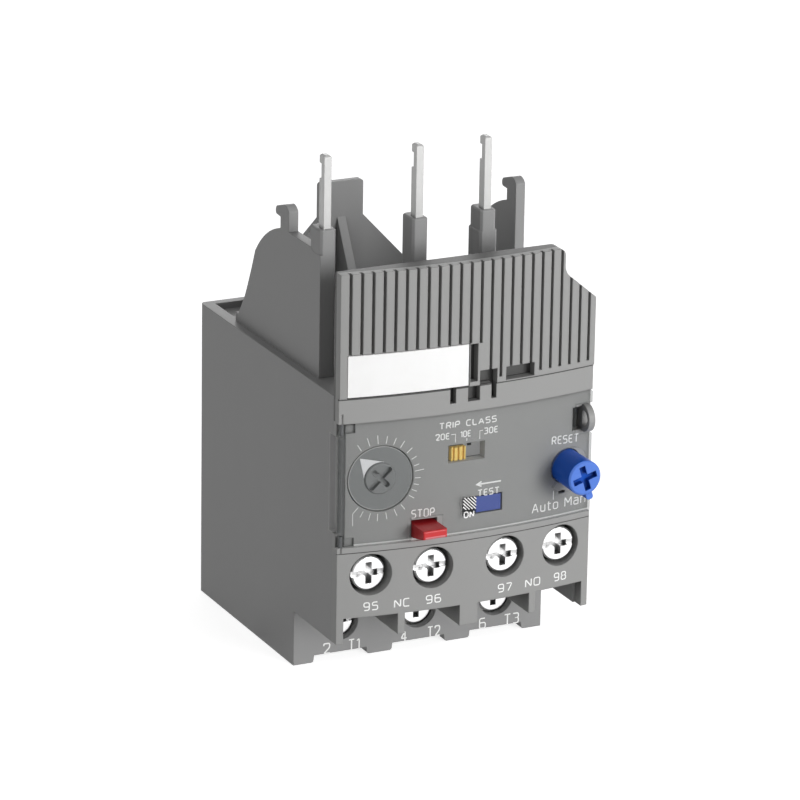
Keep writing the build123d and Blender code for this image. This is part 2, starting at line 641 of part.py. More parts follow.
def shield(side):
    """One side shield: the left one reaches forward to the first sleeve."""
    foot = BODY_HEIGHT
    if side < 0:
        front = [
            Line((SHIELD_FRONT, foot), (SHIELD_FRONT, SHIELD_TOP - 0.5)),
            Line((SHIELD_FRONT, SHIELD_TOP - 0.5), (SHIELD_FRONT + 2.4, SHIELD_TOP - 0.6)),
            Line((SHIELD_FRONT + 2.4, SHIELD_TOP - 0.6), (SHIELD_FRONT + 3.8, SHIELD_TOP)),
            Line((SHIELD_FRONT + 3.8, SHIELD_TOP), (HOOK_FRONT, SHIELD_TOP)),
        ]
    else:
        front = [
            Line((SHIELD_FRONT, foot), (SHIELD_FRONT, foot + 6.0)),
            Line((SHIELD_FRONT, foot + 6.0), (HOOK_FRONT, foot + 11.0)),
            Line((HOOK_FRONT, foot + 11.0), (HOOK_FRONT, SHIELD_TOP)),
        ]
    face = Plane.YZ * make_face(shield_outline(front))
    start = min(side * SHIELD_OUTER, side * (SHIELD_OUTER - SHIELD_WALL))
    return Pos(start, 0, 0) * extrude(face, amount=SHIELD_WALL)


def sleeve(x_span, back, top):
    """Square sleeve round a pin, with its edges broken."""
    body = block(x_span, (SHIELD_FRONT, back), (BODY_HEIGHT, top))
    body = chamfer(body.edges().filter_by(Axis.Z), SLEEVE_EDGE)
    return chamfer(body.faces().sort_by(Axis.Z)[-1].edges(), SLEEVE_EDGE / 2)


def upper_frame():
    """Moulded frame on top: both shields with hooks, three pin sleeves and the rear lug."""
    foot = BODY_HEIGHT
    plate_top = foot + FRAME_PLATE
    frame = block((-SHIELD_OUTER, SHIELD_OUTER), (SHIELD_FRONT, FRAME_BACK), (foot, plate_top))
    frame += block(around(0, 2 * LUG_HALF_FOOT), (FRAME_BACK - 1, LUG_DEPTH + LUG_WALL),
                   (foot, plate_top))
    frame += shield(-1) + shield(1)
    for place in PIN_PLACES:
        x_span = around(place, SLEEVE_WIDTH)
        frame += sleeve(x_span, SHIELD_FRONT + SLEEVE_DEPTH, SLEEVE_TOP)
    wide = around(PIN_PLACES[2] + SLEEVE_STEP_WIDER / 4, SLEEVE_WIDTH + SLEEVE_STEP_WIDER)
    frame += sleeve(wide, SHIELD_FRONT + SLEEVE_DEPTH + SLEEVE_STEP_WIDER, SLEEVE_STEP)
    lug = Polyline((-LUG_HALF_FOOT, foot), (-LUG_HALF_WIDTH, LUG_NECK), (-LUG_HALF_WIDTH, LUG_TOP),
                   (LUG_HALF_WIDTH, LUG_TOP), (LUG_HALF_WIDTH, LUG_NECK), (LUG_HALF_FOOT, foot),
                   close=True)
    plate = front_plate(lug, (LUG_DEPTH, LUG_DEPTH + LUG_WALL))
    frame += fillet(plate.edges().filter_by(Axis.Y).group_by(Axis.Z)[-1], LUG_ROUND)
    web_front = LUG_DEPTH - LUG_WEB
    frame += side_plate([(LUG_DEPTH + 0.2, foot), (LUG_DEPTH + 0.2, LUG_NECK),
                         (LUG_DEPTH, LUG_NECK), (web_front, plate_top), (web_front, foot)],
                        around(0, LUG_WEB_WIDTH))
    for place in PIN_PLACES:
        frame -= pin_hole(place, (foot - 1, SLEEVE_TOP + 1))
    return frame


def bus_bar(pole, place):
    """Bent copper bar from a pin on top, through its transformer, to its terminal."""
    pin_back = PIN_FRONT + PIN_DEPTH
    jog = (BAR_JOG_TOP - BAR_THICKNESS, BAR_JOG_TOP)
    bar = block(around(place, PIN_WIDTH), (PIN_FRONT, pin_back), (jog[0], PIN_TOP))
    bar = chamfer(bar.faces().sort_by(Axis.Z)[-1].edges(), 0.3)
    notch_top = PIN_TOP - PIN_NOTCH_DROP
    bar -= block(around(place, PIN_WIDTH + 1), (pin_back - PIN_NOTCH_DEPTH, pin_back + 1),
                 (notch_top - PIN_NOTCH_HEIGHT, notch_top))
    bar_back = BAR_FRONT + BAR_THICKNESS
    half = BAR_WIDTH / 2
    plan = Polyline((place - PIN_WIDTH, PIN_FRONT), (place + PIN_WIDTH, PIN_FRONT),
                    (pole + half, BAR_FRONT - half), (pole + half, bar_back),
                    (pole - half, bar_back), (pole - half, BAR_FRONT - half), close=True)
    bar += Pos(0, 0, jog[0]) * extrude(make_face(plan), amount=BAR_THICKNESS)
    bar += block(around(pole, BAR_WIDTH), (BAR_FRONT, bar_back),
                 (FLOOR_TOP + TOUCH_GAP, BAR_JOG_TOP))
    return bar


def core_place():
    """Limits in depth of a transformer core round its bar."""
    front = BAR_FRONT - CORE_LEG - 1.0
    return (front, front + CORE_LENGTH)


def core_height():
    """Limits in height of a transformer core, half way up its coil."""
    return around(SHELF_TOP + COIL_HEIGHT / 2, CORE_HEIGHT)


def transformer_core(pole):
    """Laminated iron ring round one bus bar."""
    front, back = core_place()
    ring = block(around(pole, CORE_WIDTH), (front, back), core_height())
    ring = fillet(ring.edges().filter_by(Axis.Z), 0.8)
    return ring - block(around(pole, CORE_WIDTH - 2 * CORE_LEG),
                        (front + CORE_LEG, back - CORE_LEG), around(SHELF_TOP + COIL_HEIGHT / 2, 20))


def transformer_coil(pole):
    """Bobbin and winding on the rear leg of a core."""
    back = core_place()[1]
    leg = (back - CORE_LEG - TOUCH_GAP, back + TOUCH_GAP)
    middle = sum(leg) / 2
    z_span = (SHELF_TOP, SHELF_TOP + COIL_HEIGHT)
    winding = block(around(pole, COIL_WIDTH), around(middle, COIL_DEPTH), z_span)
    winding = fillet(winding.edges().filter_by(Axis.X), 1.2)
    flanges = block(around(pole, COIL_WIDTH), around(middle, COIL_DEPTH), z_span)
    flanges -= block(around(pole, COIL_WIDTH - 2 * FLANGE), around(middle, COIL_DEPTH + 1),
                     (SHELF_TOP - 1, SHELF_TOP + COIL_HEIGHT + 1))
    hole = block(around(pole, COIL_WIDTH + 1), leg,
                 around(SHELF_TOP + COIL_HEIGHT / 2, CORE_HEIGHT + 2 * TOUCH_GAP))
    return winding + flanges - hole


def screw(x, head_front, z, head_radius, head_thickness, shank_radius, tip):
    """Terminal screw with a slot and a cross recess, its head towards the front."""
    shank_start = head_front + head_thickness
    body = rod_y(x, (head_front, shank_start), z, head_radius)
    body = chamfer(body.edges().group_by(Axis.Y)[0], 0.25)
    body += rod_y(x, (shank_start, tip), z, shank_radius)
    slot = SLOT_SHARE * head_radius
    arm = CROSS_ARM_SHARE * head_radius
    length = CROSS_SHARE * head_radius
    body -= block(around(x, 2 * head_radius + 1), (head_front - 1, head_front + SLOT_DEPTH),
                  around(z, slot))
    for wide, tall in ((arm, length), (length, arm)):
        body -= block(around(x, wide), (head_front - 1, head_front + CROSS_DEPTH), around(z, tall))
    return body


def cage(x, y_span, z_span, width, plate, hole_radius, hole_z):
    """Bent steel cage clamp: a ring whose front plate is threaded for the screw."""
    ring = block(around(x, width), y_span, z_span)
    ring = fillet(ring.edges().filter_by(Axis.Z), plate * 0.7)
    ring -= block(around(x, width - 2 * plate), (y_span[0] + plate, y_span[1] - plate),
                  (z_span[0] - 1, z_span[1] + 1))
    return ring - rod_y(x, (y_span[0] - 1, y_span[0] + plate + 0.5), hole_z, hole_radius)


def main_screws():
    front = RECESS_DEPTH + MAIN_HEAD_SINK
    tip = MAIN_CAGE_FRONT + MAIN_CAGE_PLATE + 0.3
    return [screw(pole, front, MAIN_SCREW_HEIGHT, MAIN_HEAD_RADIUS, MAIN_HEAD_THICKNESS,
                  MAIN_SHANK_RADIUS, tip) for pole in POLES]


def main_cages():
    back = BAR_FRONT + BAR_THICKNESS + TOUCH_GAP + MAIN_CAGE_PLATE
    width = WIRE_ENTRY_WIDTH + 2 * (ENTRY_MARGIN + MAIN_CAGE_PLATE)
    return [cage(pole, (MAIN_CAGE_FRONT, back), (FLOOR_TOP, FLOOR_TOP + MAIN_CAGE_HEIGHT),
                 width, MAIN_CAGE_PLATE, MAIN_SHANK_RADIUS + TOUCH_GAP, MAIN_SCREW_HEIGHT)
            for pole in POLES]


def control_screws():
    tip = CONTROL_CAGE_FRONT + CONTROL_CAGE_PLATE + 0.2
    return [screw(place, front_at(place) + CONTROL_HEAD_SINK, CONTROL_SCREW_HEIGHT,
                  CONTROL_HEAD_RADIUS, CONTROL_HEAD_THICKNESS, CONTROL_SHANK_RADIUS, tip)
            for place in CONTROLS]


def strip_front():
    """Depth of the foot of a contact strip, behind the wire in its cage."""
    return CONTROL_CAGE_FRONT + CONTROL_CAGE_PLATE + CONTROL_ENTRY + 2 * ENTRY_MARGIN


def control_cages():
    back = strip_front() + STRIP_THICKNESS + TOUCH_GAP + CONTROL_CAGE_PLATE
    return [cage(place, (CONTROL_CAGE_FRONT, back),
                 around(CONTROL_SCREW_HEIGHT, CONTROL_CAGE_HEIGHT), CONTROL_CAGE_WIDTH,
                 CONTROL_CAGE_PLATE, CONTROL_SHANK_RADIUS + TOUCH_GAP, CONTROL_SCREW_HEIGHT)
            for place in CONTROLS]


def contact_strip(place, closed):
    """Fixed contact: a bent strip from a control terminal up to its rivet."""
    front = strip_front()
    thick = STRIP_THICKNESS
    under = CONTROL_SCREW_HEIGHT - CONTROL_CAGE_HEIGHT / 2 - TOUCH_GAP
    foot_top = CONTROL_SCREW_HEIGHT + CONTROL_CAGE_HEIGHT / 2 - TOUCH_GAP
    top = CONTACT_HEIGHT + BRIDGE_HEIGHT / 2
    rise = strip_rise(closed)
    if closed:
        rivet = (rise + thick, BRIDGE_FRONT)
    else:
        rivet = (rise - RIVET_HEIGHT, rise)
    strip = side_plate([(front, under - thick), (front, foot_top), (front + thick, foot_top),
                        (front + thick, under), (rise, under), (rise, top), (rise + thick, top),
                        (rise + thick, under - thick)], around(place, STRIP_WIDTH))
    return strip + rod_y(place, rivet, CONTACT_HEIGHT, RIVET_RADIUS)


def contact_bridge(side):
    """Moving bridge that joins the two fixed contacts on one side."""
    reach = CONTROL_SPACING + 2 * RIVET_RADIUS + 0.4
    return block(around(side * CONTACT_MIDDLE, reach), (BRIDGE_FRONT, BRIDGE_BACK),
                 around(CONTACT_HEIGHT, BRIDGE_HEIGHT))


def contact_carrier():
    """Sliding bar that holds both bridges in posts and is moved by the trip lever."""
    foot = TRIP_SHELF_TOP + TOUCH_GAP
    front = BRIDGE_FRONT - 0.35
    y_span = (front, front + CARRIER_DEPTH)
    bar_top = foot + CARRIER_HEIGHT
    post_top = CONTACT_HEIGHT + BRIDGE_HEIGHT / 2 + 0.6
    carrier = block(around(0, 2 * CONTACT_MIDDLE + POST_WIDTH), y_span, (foot, bar_top))
    for side in (-1, 1):
        post = block(around(side * CONTACT_MIDDLE, POST_WIDTH), y_span, (foot, post_top))
        carrier += post - block(around(side * CONTACT_MIDDLE, POST_WIDTH + 1),
                                (BRIDGE_FRONT, BRIDGE_BACK), around(CONTACT_HEIGHT, BRIDGE_HEIGHT))
    fork = LEVER_TIP_RADIUS + FORK_GAP
    prongs = block(around(0, LEVER_WIDTH + 1), around(PIVOT_DEPTH, 2 * (fork + FORK_WALL)),
                   (foot, LEVER_TIP + FORK_RISE))
    return carrier + prongs - block(around(0, LEVER_WIDTH + 2), around(PIVOT_DEPTH, 2 * fork),
                                    (bar_top, LEVER_TIP + FORK_RISE + 1))


def trip_lever():
    """Bell crank that turns the fall of the plunger into a push on the carrier."""
    half = LEVER_THICKNESS / 2
    width = around(0, LEVER_WIDTH)
    lever = rod_x(width, PIVOT_DEPTH, LEVER_PIVOT, LEVER_HUB_RADIUS)
    lever += block(width, (PLUNGER_DEPTH - 1.2, PIVOT_DEPTH),
                   (LEVER_PIVOT - half, LEVER_PIVOT + half))
    lever += block(width, (PIVOT_DEPTH - half * 0.8, PIVOT_DEPTH + half * 0.8),
                   (LEVER_TIP, LEVER_PIVOT))
    lever += rod_x(width, PIVOT_DEPTH, LEVER_TIP, LEVER_TIP_RADIUS)
    return lever + rod_x(around(0, LEVER_WIDTH + 2 * CHEEK_WALL + 0.6), PIVOT_DEPTH, LEVER_PIVOT,
                         LEVER_STUB_RADIUS)


def trip_plunger():
    """Rod of the trip magnet, with a round foot that rests just above the lever."""
    foot = LEVER_PIVOT + LEVER_THICKNESS / 2 + 0.1
    rod = rod_z(0, PLUNGER_DEPTH, (foot + PLUNGER_RADIUS, YOKE_TOP - YOKE_WALL - 1.6),
                PLUNGER_RADIUS)
    return rod + Pos(0, PLUNGER_DEPTH, foot + PLUNGER_RADIUS) * Sphere(PLUNGER_RADIUS)


def magnet_yoke():
    """Bent steel frame of the trip magnet."""
    z_span = (CHEEK_TOP, YOKE_TOP)
    y_span = around(PLUNGER_DEPTH, YOKE_DEPTH)
    yoke = block(around(0, YOKE_WIDTH), y_span, z_span)
    yoke = fillet(yoke.edges().filter_by(Axis.Y), 0.8)
    yoke -= block(around(0, YOKE_WIDTH - 2 * YOKE_WALL), around(PLUNGER_DEPTH, YOKE_DEPTH + 1),
                  (CHEEK_TOP + YOKE_WALL, YOKE_TOP - YOKE_WALL))
    return yoke - rod_z(0, PLUNGER_DEPTH, (CHEEK_TOP - 1, CHEEK_TOP + YOKE_WALL + 0.5),
                        PLUNGER_RADIUS + FIT)


def magnet_coil():
    """Winding of the trip magnet with a flange at each end."""
    low, high = CHEEK_TOP + YOKE_WALL, YOKE_TOP - YOKE_WALL
    radius = YOKE_DEPTH / 2 - 0.1
    coil = rod_z(0, PLUNGER_DEPTH, (low, high), radius - 0.5)
    coil += rod_z(0, PLUNGER_DEPTH, (low, low + 0.6), radius)
    coil += rod_z(0, PLUNGER_DEPTH, (high - 0.6, high), radius)
    return coil - rod_z(0, PLUNGER_DEPTH, (low - 1, high - 1.2), PLUNGER_RADIUS + FIT)


def inner_frame():
    """Plastic chassis: bulkhead behind the front panel, shelf and cheeks of the trip lever."""
    side = INSIDE - FIT
    back = BULKHEAD_FRONT + BULKHEAD
    frame = block((-side, side), (BULKHEAD_FRONT, back), (TERMINAL_TOP, CAVITY_TOP - FIT))
    frame += block((-side, side), (BULKHEAD_FRONT, RECESS_DEPTH + 1.2),
                   (TERMINAL_TOP, TERMINAL_TOP + TRIP_SHELF_THICKNESS))
    shelf = (TRIP_SHELF_TOP - TRIP_SHELF_THICKNESS, TRIP_SHELF_TOP)
    frame += block((-side, side), (RECESS_DEPTH + TOUCH_GAP, TRIP_SHELF_BACK), shelf)
    frame += block((-side, side), (RECESS_DEPTH + TOUCH_GAP, RECESS_DEPTH + 1.2),
                   (shelf[0], TERMINAL_TOP + TRIP_SHELF_THICKNESS))
    cheek_front = PLUNGER_DEPTH - YOKE_DEPTH / 2
    neck = BRIDGE_FRONT - 1.3
    arm_low = LEVER_PIVOT - 1.6
    for edge in (-1, 1):
        inner = edge * (LEVER_WIDTH / 2 + 0.25)
        x_span = sorted((inner, inner + edge * CHEEK_WALL))
        cheek = side_plate([(cheek_front, TERMINAL_TOP), (cheek_front, CHEEK_TOP),
                            (PIVOT_DEPTH + 1.4, CHEEK_TOP), (PIVOT_DEPTH + 1.4, arm_low),
                            (neck, arm_low - 1.0), (neck, shelf[1] - 0.2),
                            (RECESS_DEPTH + 0.3, shelf[1] - 0.2), (RECESS_DEPTH + 0.3, TERMINAL_TOP)],
                           x_span)
        frame += cheek - rod_x((x_span[0] - 1, x_span[1] + 1), PIVOT_DEPTH, LEVER_PIVOT,
                               LEVER_STUB_RADIUS + TOUCH_GAP)
    for place, closed in zip(CONTROLS, (True, True, False, False)):
        rise = strip_rise(closed)
        frame -= block(around(place, STRIP_WIDTH + 2 * FIT), (rise - FIT, rise + STRIP_THICKNESS + FIT),
                       (shelf[0] - 1, shelf[1] + 1))
    half_pot = POT_SIZE / 2 + FIT
    frame -= block((-side - 1, DIAL_X + half_pot + POT_ROOM), (BULKHEAD_FRONT - 1, back + 1),
                   around(DIAL_Z, 2 * half_pot))
    frame -= block(around(CLASS_SWITCH_X, CLASS_SWITCH_WIDTH + 2 * FIT),
                   (BULKHEAD_FRONT - 1, back + 1), around(CLASS_SWITCH_Z, CLASS_SWITCH_HEIGHT + 2 * FIT))
    frame -= rod_y(STOP_ROD_X, (BULKHEAD_FRONT - 1, back + 1), stop_middle(),
                   STOP_ROD_RADIUS + FIT)
    frame -= rod_y(RESET_X, (BULKHEAD_FRONT - 1, back + 1), RESET_Z, RESET_STEM_RADIUS + FIT)
    for x in (-POST_PLACE, POST_PLACE):
        for z in (BOARD_BOTTOM + 1.2, CAVITY_TOP - 2.2):
            frame += rod_y(x, (back - 0.2, BOARD_FRONT), z, 0.9)
    return frame


def strip_rise(closed):
    """Depth of the upright leg of a fixed contact."""
    if closed:
        return BRIDGE_FRONT - RIVET_HEIGHT - STRIP_THICKNESS
    return BRIDGE_BACK + CONTACT_TRAVEL + TOUCH_GAP + RIVET_HEIGHT


def stop_middle():
    return (STOP_BOTTOM + STOP_TOP) / 2


def circuit_board():
    """Printed board behind the bulkhead."""
    side = INSIDE - 2 * FIT
    return block((-side, side), (BOARD_FRONT, BOARD_BACK), (BOARD_BOTTOM, CAVITY_TOP - 2 * FIT))


def controller_chip():
    """Square chip with its legs, on the back of the board."""
    x, z = CHIP_PLACE
    leg_span = CHIP_SIZE + 2 * CHIP_LEG_REACH
    feet = (BOARD_BACK, BOARD_BACK + CHIP_LEG_RISE)
    chip = block(around(x, CHIP_SIZE), (BOARD_BACK + CHIP_STANDOFF, BOARD_BACK + CHIP_THICKNESS),
                 around(z, CHIP_SIZE))
    for number in range(CHIP_LEGS):
        offset = (number - (CHIP_LEGS - 1) / 2) * CHIP_LEG_PITCH
        chip += block(around(x, leg_span), feet, around(z + offset, CHIP_LEG_WIDTH))
        chip += block(around(x + offset, CHIP_LEG_WIDTH), feet, around(z, leg_span))
    return chip


def capacitors():
    """Three can capacitors on the back of the board."""
    return [rod_y(x, (BOARD_BACK, BOARD_BACK + CAN_LENGTH), z, CAN_RADIUS) for x, z in CAN_PLACES]


def potentiometer():
    """Setting potentiometer, wedge shaped so that its bore lines up with the tilted dial."""
    body = block(around(0, POT_SIZE), (POT_FRONT, 2 * BOARD_FRONT), around(0, POT_SIZE))
    body = chamfer(body.edges().filter_by(Axis.Y), 1.0)
    body = on_front(body - rod_y(0, (POT_FRONT - 1, DIAL_SHAFT_END + 0.2), 0,
                                 DIAL_SHAFT_RADIUS + TOUCH_GAP))
    return body & block((-HALF, HALF), (0, BOARD_FRONT), (0, BODY_HEIGHT))


def class_switch():
    """Slide switch on the board behind the trip class slider."""
    body = block(around(CLASS_SWITCH_X, CLASS_SWITCH_WIDTH), (CLASS_SWITCH_FRONT, BOARD_FRONT),
                 around(CLASS_SWITCH_Z, CLASS_SWITCH_HEIGHT))
    return body - block((CLASS_LEFT, CLASS_RIGHT), (CLASS_SWITCH_FRONT - 1, CLASS_SWITCH_FRONT + 1.5),
                        around(CLASS_SWITCH_Z, 1.6))


def dial():
    """Round setting dial with a raised boss, a cross slot and a shaft."""
    face = DIAL_FACE
    boss_face = face - DIAL_BOSS_RISE
    disc = rod_y(0, (face, face + DIAL_THICKNESS), 0, DIAL_RADIUS)
    boss = rod_y(0, (boss_face, face + 0.2), 0, DIAL_BOSS_RADIUS)
    boss = chamfer(boss.edges().group_by(Axis.Y)[0], DIAL_BOSS_RISE * 0.6)
    shaft = rod_y(0, (face + 0.5, DIAL_SHAFT_END), 0, DIAL_SHAFT_RADIUS)
    body = disc + boss + shaft
    cut = (boss_face - 1, boss_face + DIAL_SLOT_DEPTH)
    for angle, length in zip((-45, 45), DIAL_SLOT_LENGTHS):
        end = (length - DIAL_SLOT_WIDTH) / 2
        bar = block(around(0, 2 * end), cut, around(0, DIAL_SLOT_WIDTH))
        bar += rod_y(-end, cut, 0, DIAL_SLOT_WIDTH / 2) + rod_y(end, cut, 0, DIAL_SLOT_WIDTH / 2)
        body -= Rot(0, angle, 0) * bar
    return on_front(body - pointer_prism(face - 1, face + POINTER_SINK))


def pointer_prism(front, back):
    """Prism of the arrow that points to the upper left, hollowed round the boss."""
    outline = Polyline(*POINTER_OUTLINE, close=True)
    prism = front_plate(outline, (front, back))
    return prism - rod_y(0, (front - 1, back + 1), 0, DIAL_BOSS_RADIUS + POINTER_GAP)


def panel_back_middle():
    """Depth of the back of the front panel where the two sliders run."""
    return front_at(TEST_RIGHT + 1) + PANEL_WALL


def class_slider():
    """Yellow slider with finger grooves, seen in the trip class window."""
    left = CLASS_LEFT + CLASS_INSET
    x_span = (left, left + CLASS_KNOB_WIDTH)
    face = front_at(0) + PANEL_RECESS + SLIDER_SINK
    back = panel_back_middle() + FIT
    knob = block(x_span, (face, back + FIT), (CLASS_BOTTOM + 0.25, CLASS_TOP - 0.5))
    for number in range(3):
        groove = left + CLASS_KNOB_WIDTH * (number + 0.5) / 3
        knob -= block(around(groove, 0.3), (face - 1, face + 0.35), (CLASS_BOTTOM, CLASS_TOP))
    flange = block((left - 1.2, left + CLASS_KNOB_WIDTH + 1.2), (back, back + SLIDER_FLANGE),
                   (CLASS_BOTTOM - 0.6, CLASS_TOP + 0.6))
    tail = block(around(left + CLASS_KNOB_WIDTH / 2, 1.2), (back, CLASS_SWITCH_FRONT + 1.2),
                 around(CLASS_SWITCH_Z, 1.2))
    return knob + flange + tail


def test_slider():
    """Blue slider in the test window; it is pushed to the left against its spring."""
    right = TEST_RIGHT - 0.3
    left = right - TEST_KNOB_WIDTH
    face = front_at(0) + PANEL_RECESS + SLIDER_SINK
    middle = (TEST_BOTTOM + TEST_TOP) / 2
    back = panel_back_middle() + FIT
    knob = block((left, right), (face, back + FIT), (TEST_BOTTOM + 0.2, TEST_TOP - 0.2))
    flange = block((TEST_LEFT + 0.6, right + 0.9), (back, back + SLIDER_FLANGE),
                   (TEST_BOTTOM - 0.6, TEST_TOP + 0.6))
    heel = block((TEST_LEFT + 0.6, TEST_LEFT + 1.4), (back, TEST_SPRING_DEPTH + 0.9),
                 around(middle, 2.2))
    return knob + flange + heel


def test_spring():
    middle = (TEST_BOTTOM + TEST_TOP) / 2
    length = TEST_LEFT + 0.6 - TEST_SPRING_START
    coil = wound_spring(TEST_SPRING_RADIUS, length, SPRING_TURNS + 1)
    return Pos(TEST_SPRING_START, TEST_SPRING_DEPTH, middle) * Rot(0, 90, 0) * coil


def stop_button():
    """Red stop button with a slanted under side, a flange and a push rod behind."""
    reach = front_at(STOP_X) - STOP_REACH
    flange_front = front_at(STOP_X - STOP_WIDTH) + PANEL_WALL + FIT
    shank = side_plate([(reach, STOP_TOP), (flange_front + 0.2, STOP_TOP),
                        (flange_front + 0.2, STOP_BOTTOM), (front_at(STOP_X), STOP_BOTTOM),
                        (reach, STOP_BOTTOM + STOP_BEVEL)], around(STOP_X, STOP_WIDTH))
    shank = fillet(shank.faces().sort_by(Axis.Y)[0].edges(), 0.25)
    flange = block(around(STOP_X, STOP_WIDTH + 1.4), (flange_front, flange_front + STOP_FLANGE),
                   (TERMINAL_TOP + TRIP_SHELF_THICKNESS + 0.1, STOP_TOP + 0.9))
    rod = rod_y(STOP_ROD_X, (flange_front, BRIDGE_FRONT - STOP_TRAVEL - 0.1), stop_middle(),
                STOP_ROD_RADIUS)
    return shank + flange + rod


def stop_spring():
    start = front_at(STOP_X - STOP_WIDTH) + PANEL_WALL + FIT + STOP_FLANGE
    coil = wound_spring(STOP_ROD_RADIUS + 0.35, BULKHEAD_FRONT - start, SPRING_TURNS)
    return Pos(STOP_ROD_X, start, stop_middle()) * Rot(-90, 0, 0) * coil


def reset_flange_span():
    """Depths of the flange on the reset stem, just behind the front panel."""
    front = front_at(RESET_X + RESET_FLANGE_RADIUS) + PANEL_WALL + FIT
    return (front, front + 0.8)


def reset_stem():
    """Push stem of the reset knob, held behind the front panel by its flange."""
    tip = front_at(RESET_X) - RESET_REACH + 2.5
    stem = rod_y(RESET_X, (tip, BULKHEAD_FRONT - 0.3), RESET_Z, RESET_STEM_RADIUS)
    flange = rod_y(RESET_X, reset_flange_span(), RESET_Z, RESET_FLANGE_RADIUS)
    return stem + (flange & block((0, INSIDE - 2 * FIT), (-1, BODY_DEPTH), (0, BODY_HEIGHT)))


def reset_knob():
    """Blue knob, wider at its face, with a cross slot and a pointer tab."""
    face = front_at(RESET_X) - RESET_REACH
    back = reset_flange_span()[0] - 2 * TOUCH_GAP
    base = front_at(RESET_X) - 0.8
    outline = Polyline((0, back), (RESET_BASE_RADIUS, back), (RESET_BASE_RADIUS, base),
                       (RESET_FACE_RADIUS, face + 1.6), (RESET_FACE_RADIUS, face + 0.3),
                       (RESET_FACE_RADIUS - 0.3, face), (0, face), close=True)
    knob = revolve(make_face(outline), Axis.Y)
    tab = block((0, RESET_POINTER_REACH), (face + 0.2, face + RESET_POINTER_LENGTH),
                around(0, RESET_POINTER_WIDTH))
    tab = fillet(tab.edges().filter_by(Axis.Y).sort_by(Axis.X)[-2:], 0.45)
    knob += Rot(0, -RESET_POINTER_ANGLE, 0) * tab
    length, width = RESET_CROSS
    for angle in (-RESET_POINTER_ANGLE, 90 - RESET_POINTER_ANGLE):
        knob -= Rot(0, angle, 0) * block(around(0, length), (face - 1, face + RESET_CROSS_DEPTH),
                                         around(0, width))
    bore = rod_y(0, (face + 2.3, back + 1), 0, RESET_STEM_RADIUS + TOUCH_GAP)
    return Pos(RESET_X, 0, RESET_Z) * (knob - bore)


def reset_spring():
    start = reset_flange_span()[1]
    coil = wound_spring(RESET_STEM_RADIUS + 0.45, BULKHEAD_FRONT - start, SPRING_TURNS)
    return Pos(RESET_X, start, RESET_Z) * Rot(-90, 0, 0) * coil


def cover():
    """Clear hinged cover with openings for the stop button, reset knob and sealing eye."""
    z_span = (COVER_BOTTOM, COVER_TOP)
    plate = curved_wall((HINGE_X, COVER_RIGHT), z_span, -COVER_PROUD, COVER_BACK)
    plate += rod_z(HINGE_X, HINGE_Y, z_span, KNUCKLE_RADIUS)
    plate -= block((STOP_X - STOP_WIDTH / 2 - STOP_MARGIN, STOP_X + STOP_WIDTH / 2 + 2 * STOP_MARGIN),
                   (-6, 3), (COVER_BOTTOM - 1, STOP_TOP + STOP_COVER_RISE))
    plate -= knob_opening(0) + knob_opening(KNOB_SWEEP / 2) + knob_opening(KNOB_SWEEP)
    plate -= block((SEAL_X - 2 * SEAL_WALL, COVER_RIGHT + 1), (-6, 3),
                   around(SEAL_Z, 2 * (SEAL_RADIUS + KNOB_GAP)))
    for z_pin in hinge_pin_spans():
        plate -= rod_z(HINGE_X, HINGE_Y, z_pin, HINGE_PIN_RADIUS + TOUCH_GAP)
    return plate


def knob_opening(shift):
    """Round opening for the knob with a fan below it that lets the pointer tab through."""
    hole = rod_y(0, (-6, 3), 0, RESET_FACE_RADIUS + KNOB_GAP)
    reach = 2 * RESET_POINTER_REACH
    rays = [(reach * math.cos(math.radians(angle)), reach * math.sin(math.radians(angle)))
            for angle in KNOB_FAN]
    fan = front_plate(Polyline((0, 0), *rays, close=True), (-6, 3))
    fan &= rod_y(0, (-6, 3), 0, RESET_POINTER_REACH + KNOB_GAP)
    return Pos(RESET_X + shift, 0, RESET_Z) * (hole + fan)


def hinge_pins():
    return [rod_z(HINGE_X, HINGE_Y, z_span, HINGE_PIN_RADIUS) for z_span in hinge_pin_spans()]


def all_parts():
    """Every node of the relay by name."""
    parts = {
        "housing": housing(),
        "terminal_block": terminal_block(),
        "front_panel": front_panel(),
        "ribbed_panel": ribbed_panel(),
        "label_plate": label_plate(),
        "upper_frame": upper_frame(),
        "main_terminal_screws": main_screws(),
        "main_terminal_cages": main_cages(),
        "control_terminal_screws": control_screws(),
        "control_terminal_cages": control_cages(),
        "nc_bridge": contact_bridge(-1),
        "no_bridge": contact_bridge(1),
        "contact_carrier": contact_carrier(),
        "trip_lever": trip_lever(),
        "trip_plunger": trip_plunger(),
        "magnet_yoke": magnet_yoke(),
        "magnet_coil": magnet_coil(),
        "inner_frame": inner_frame(),
        "circuit_board": circuit_board(),
        "controller_chip": controller_chip(),
        "capacitors": capacitors(),
        "potentiometer": potentiometer(),
        "class_switch": class_switch(),
        "dial": dial(),
        "dial_pointer": on_front(pointer_prism(DIAL_FACE, DIAL_FACE + POINTER_SINK)),
        "class_slider": class_slider(),
        "test_slider": test_slider(),
        "test_spring": test_spring(),
        "stop_button": stop_button(),
        "stop_spring": stop_spring(),
        "reset_stem": reset_stem(),
        "reset_knob": reset_knob(),
        "reset_spring": reset_spring(),
        "cover": cover(),
        "hinge_pins": hinge_pins(),
    }
    for number, (pole, place) in enumerate(zip(POLES, PIN_PLACES), start=1):
        parts[f"bus_bar_{number}"] = bus_bar(pole, place)
        parts[f"transformer_core_{number}"] = transformer_core(pole)
        parts[f"transformer_coil_{number}"] = transformer_coil(pole)
    for number, place in enumerate(CONTROLS, start=95):
        parts[f"fixed_contact_{number}"] = contact_strip(place, number < 97)
    return parts


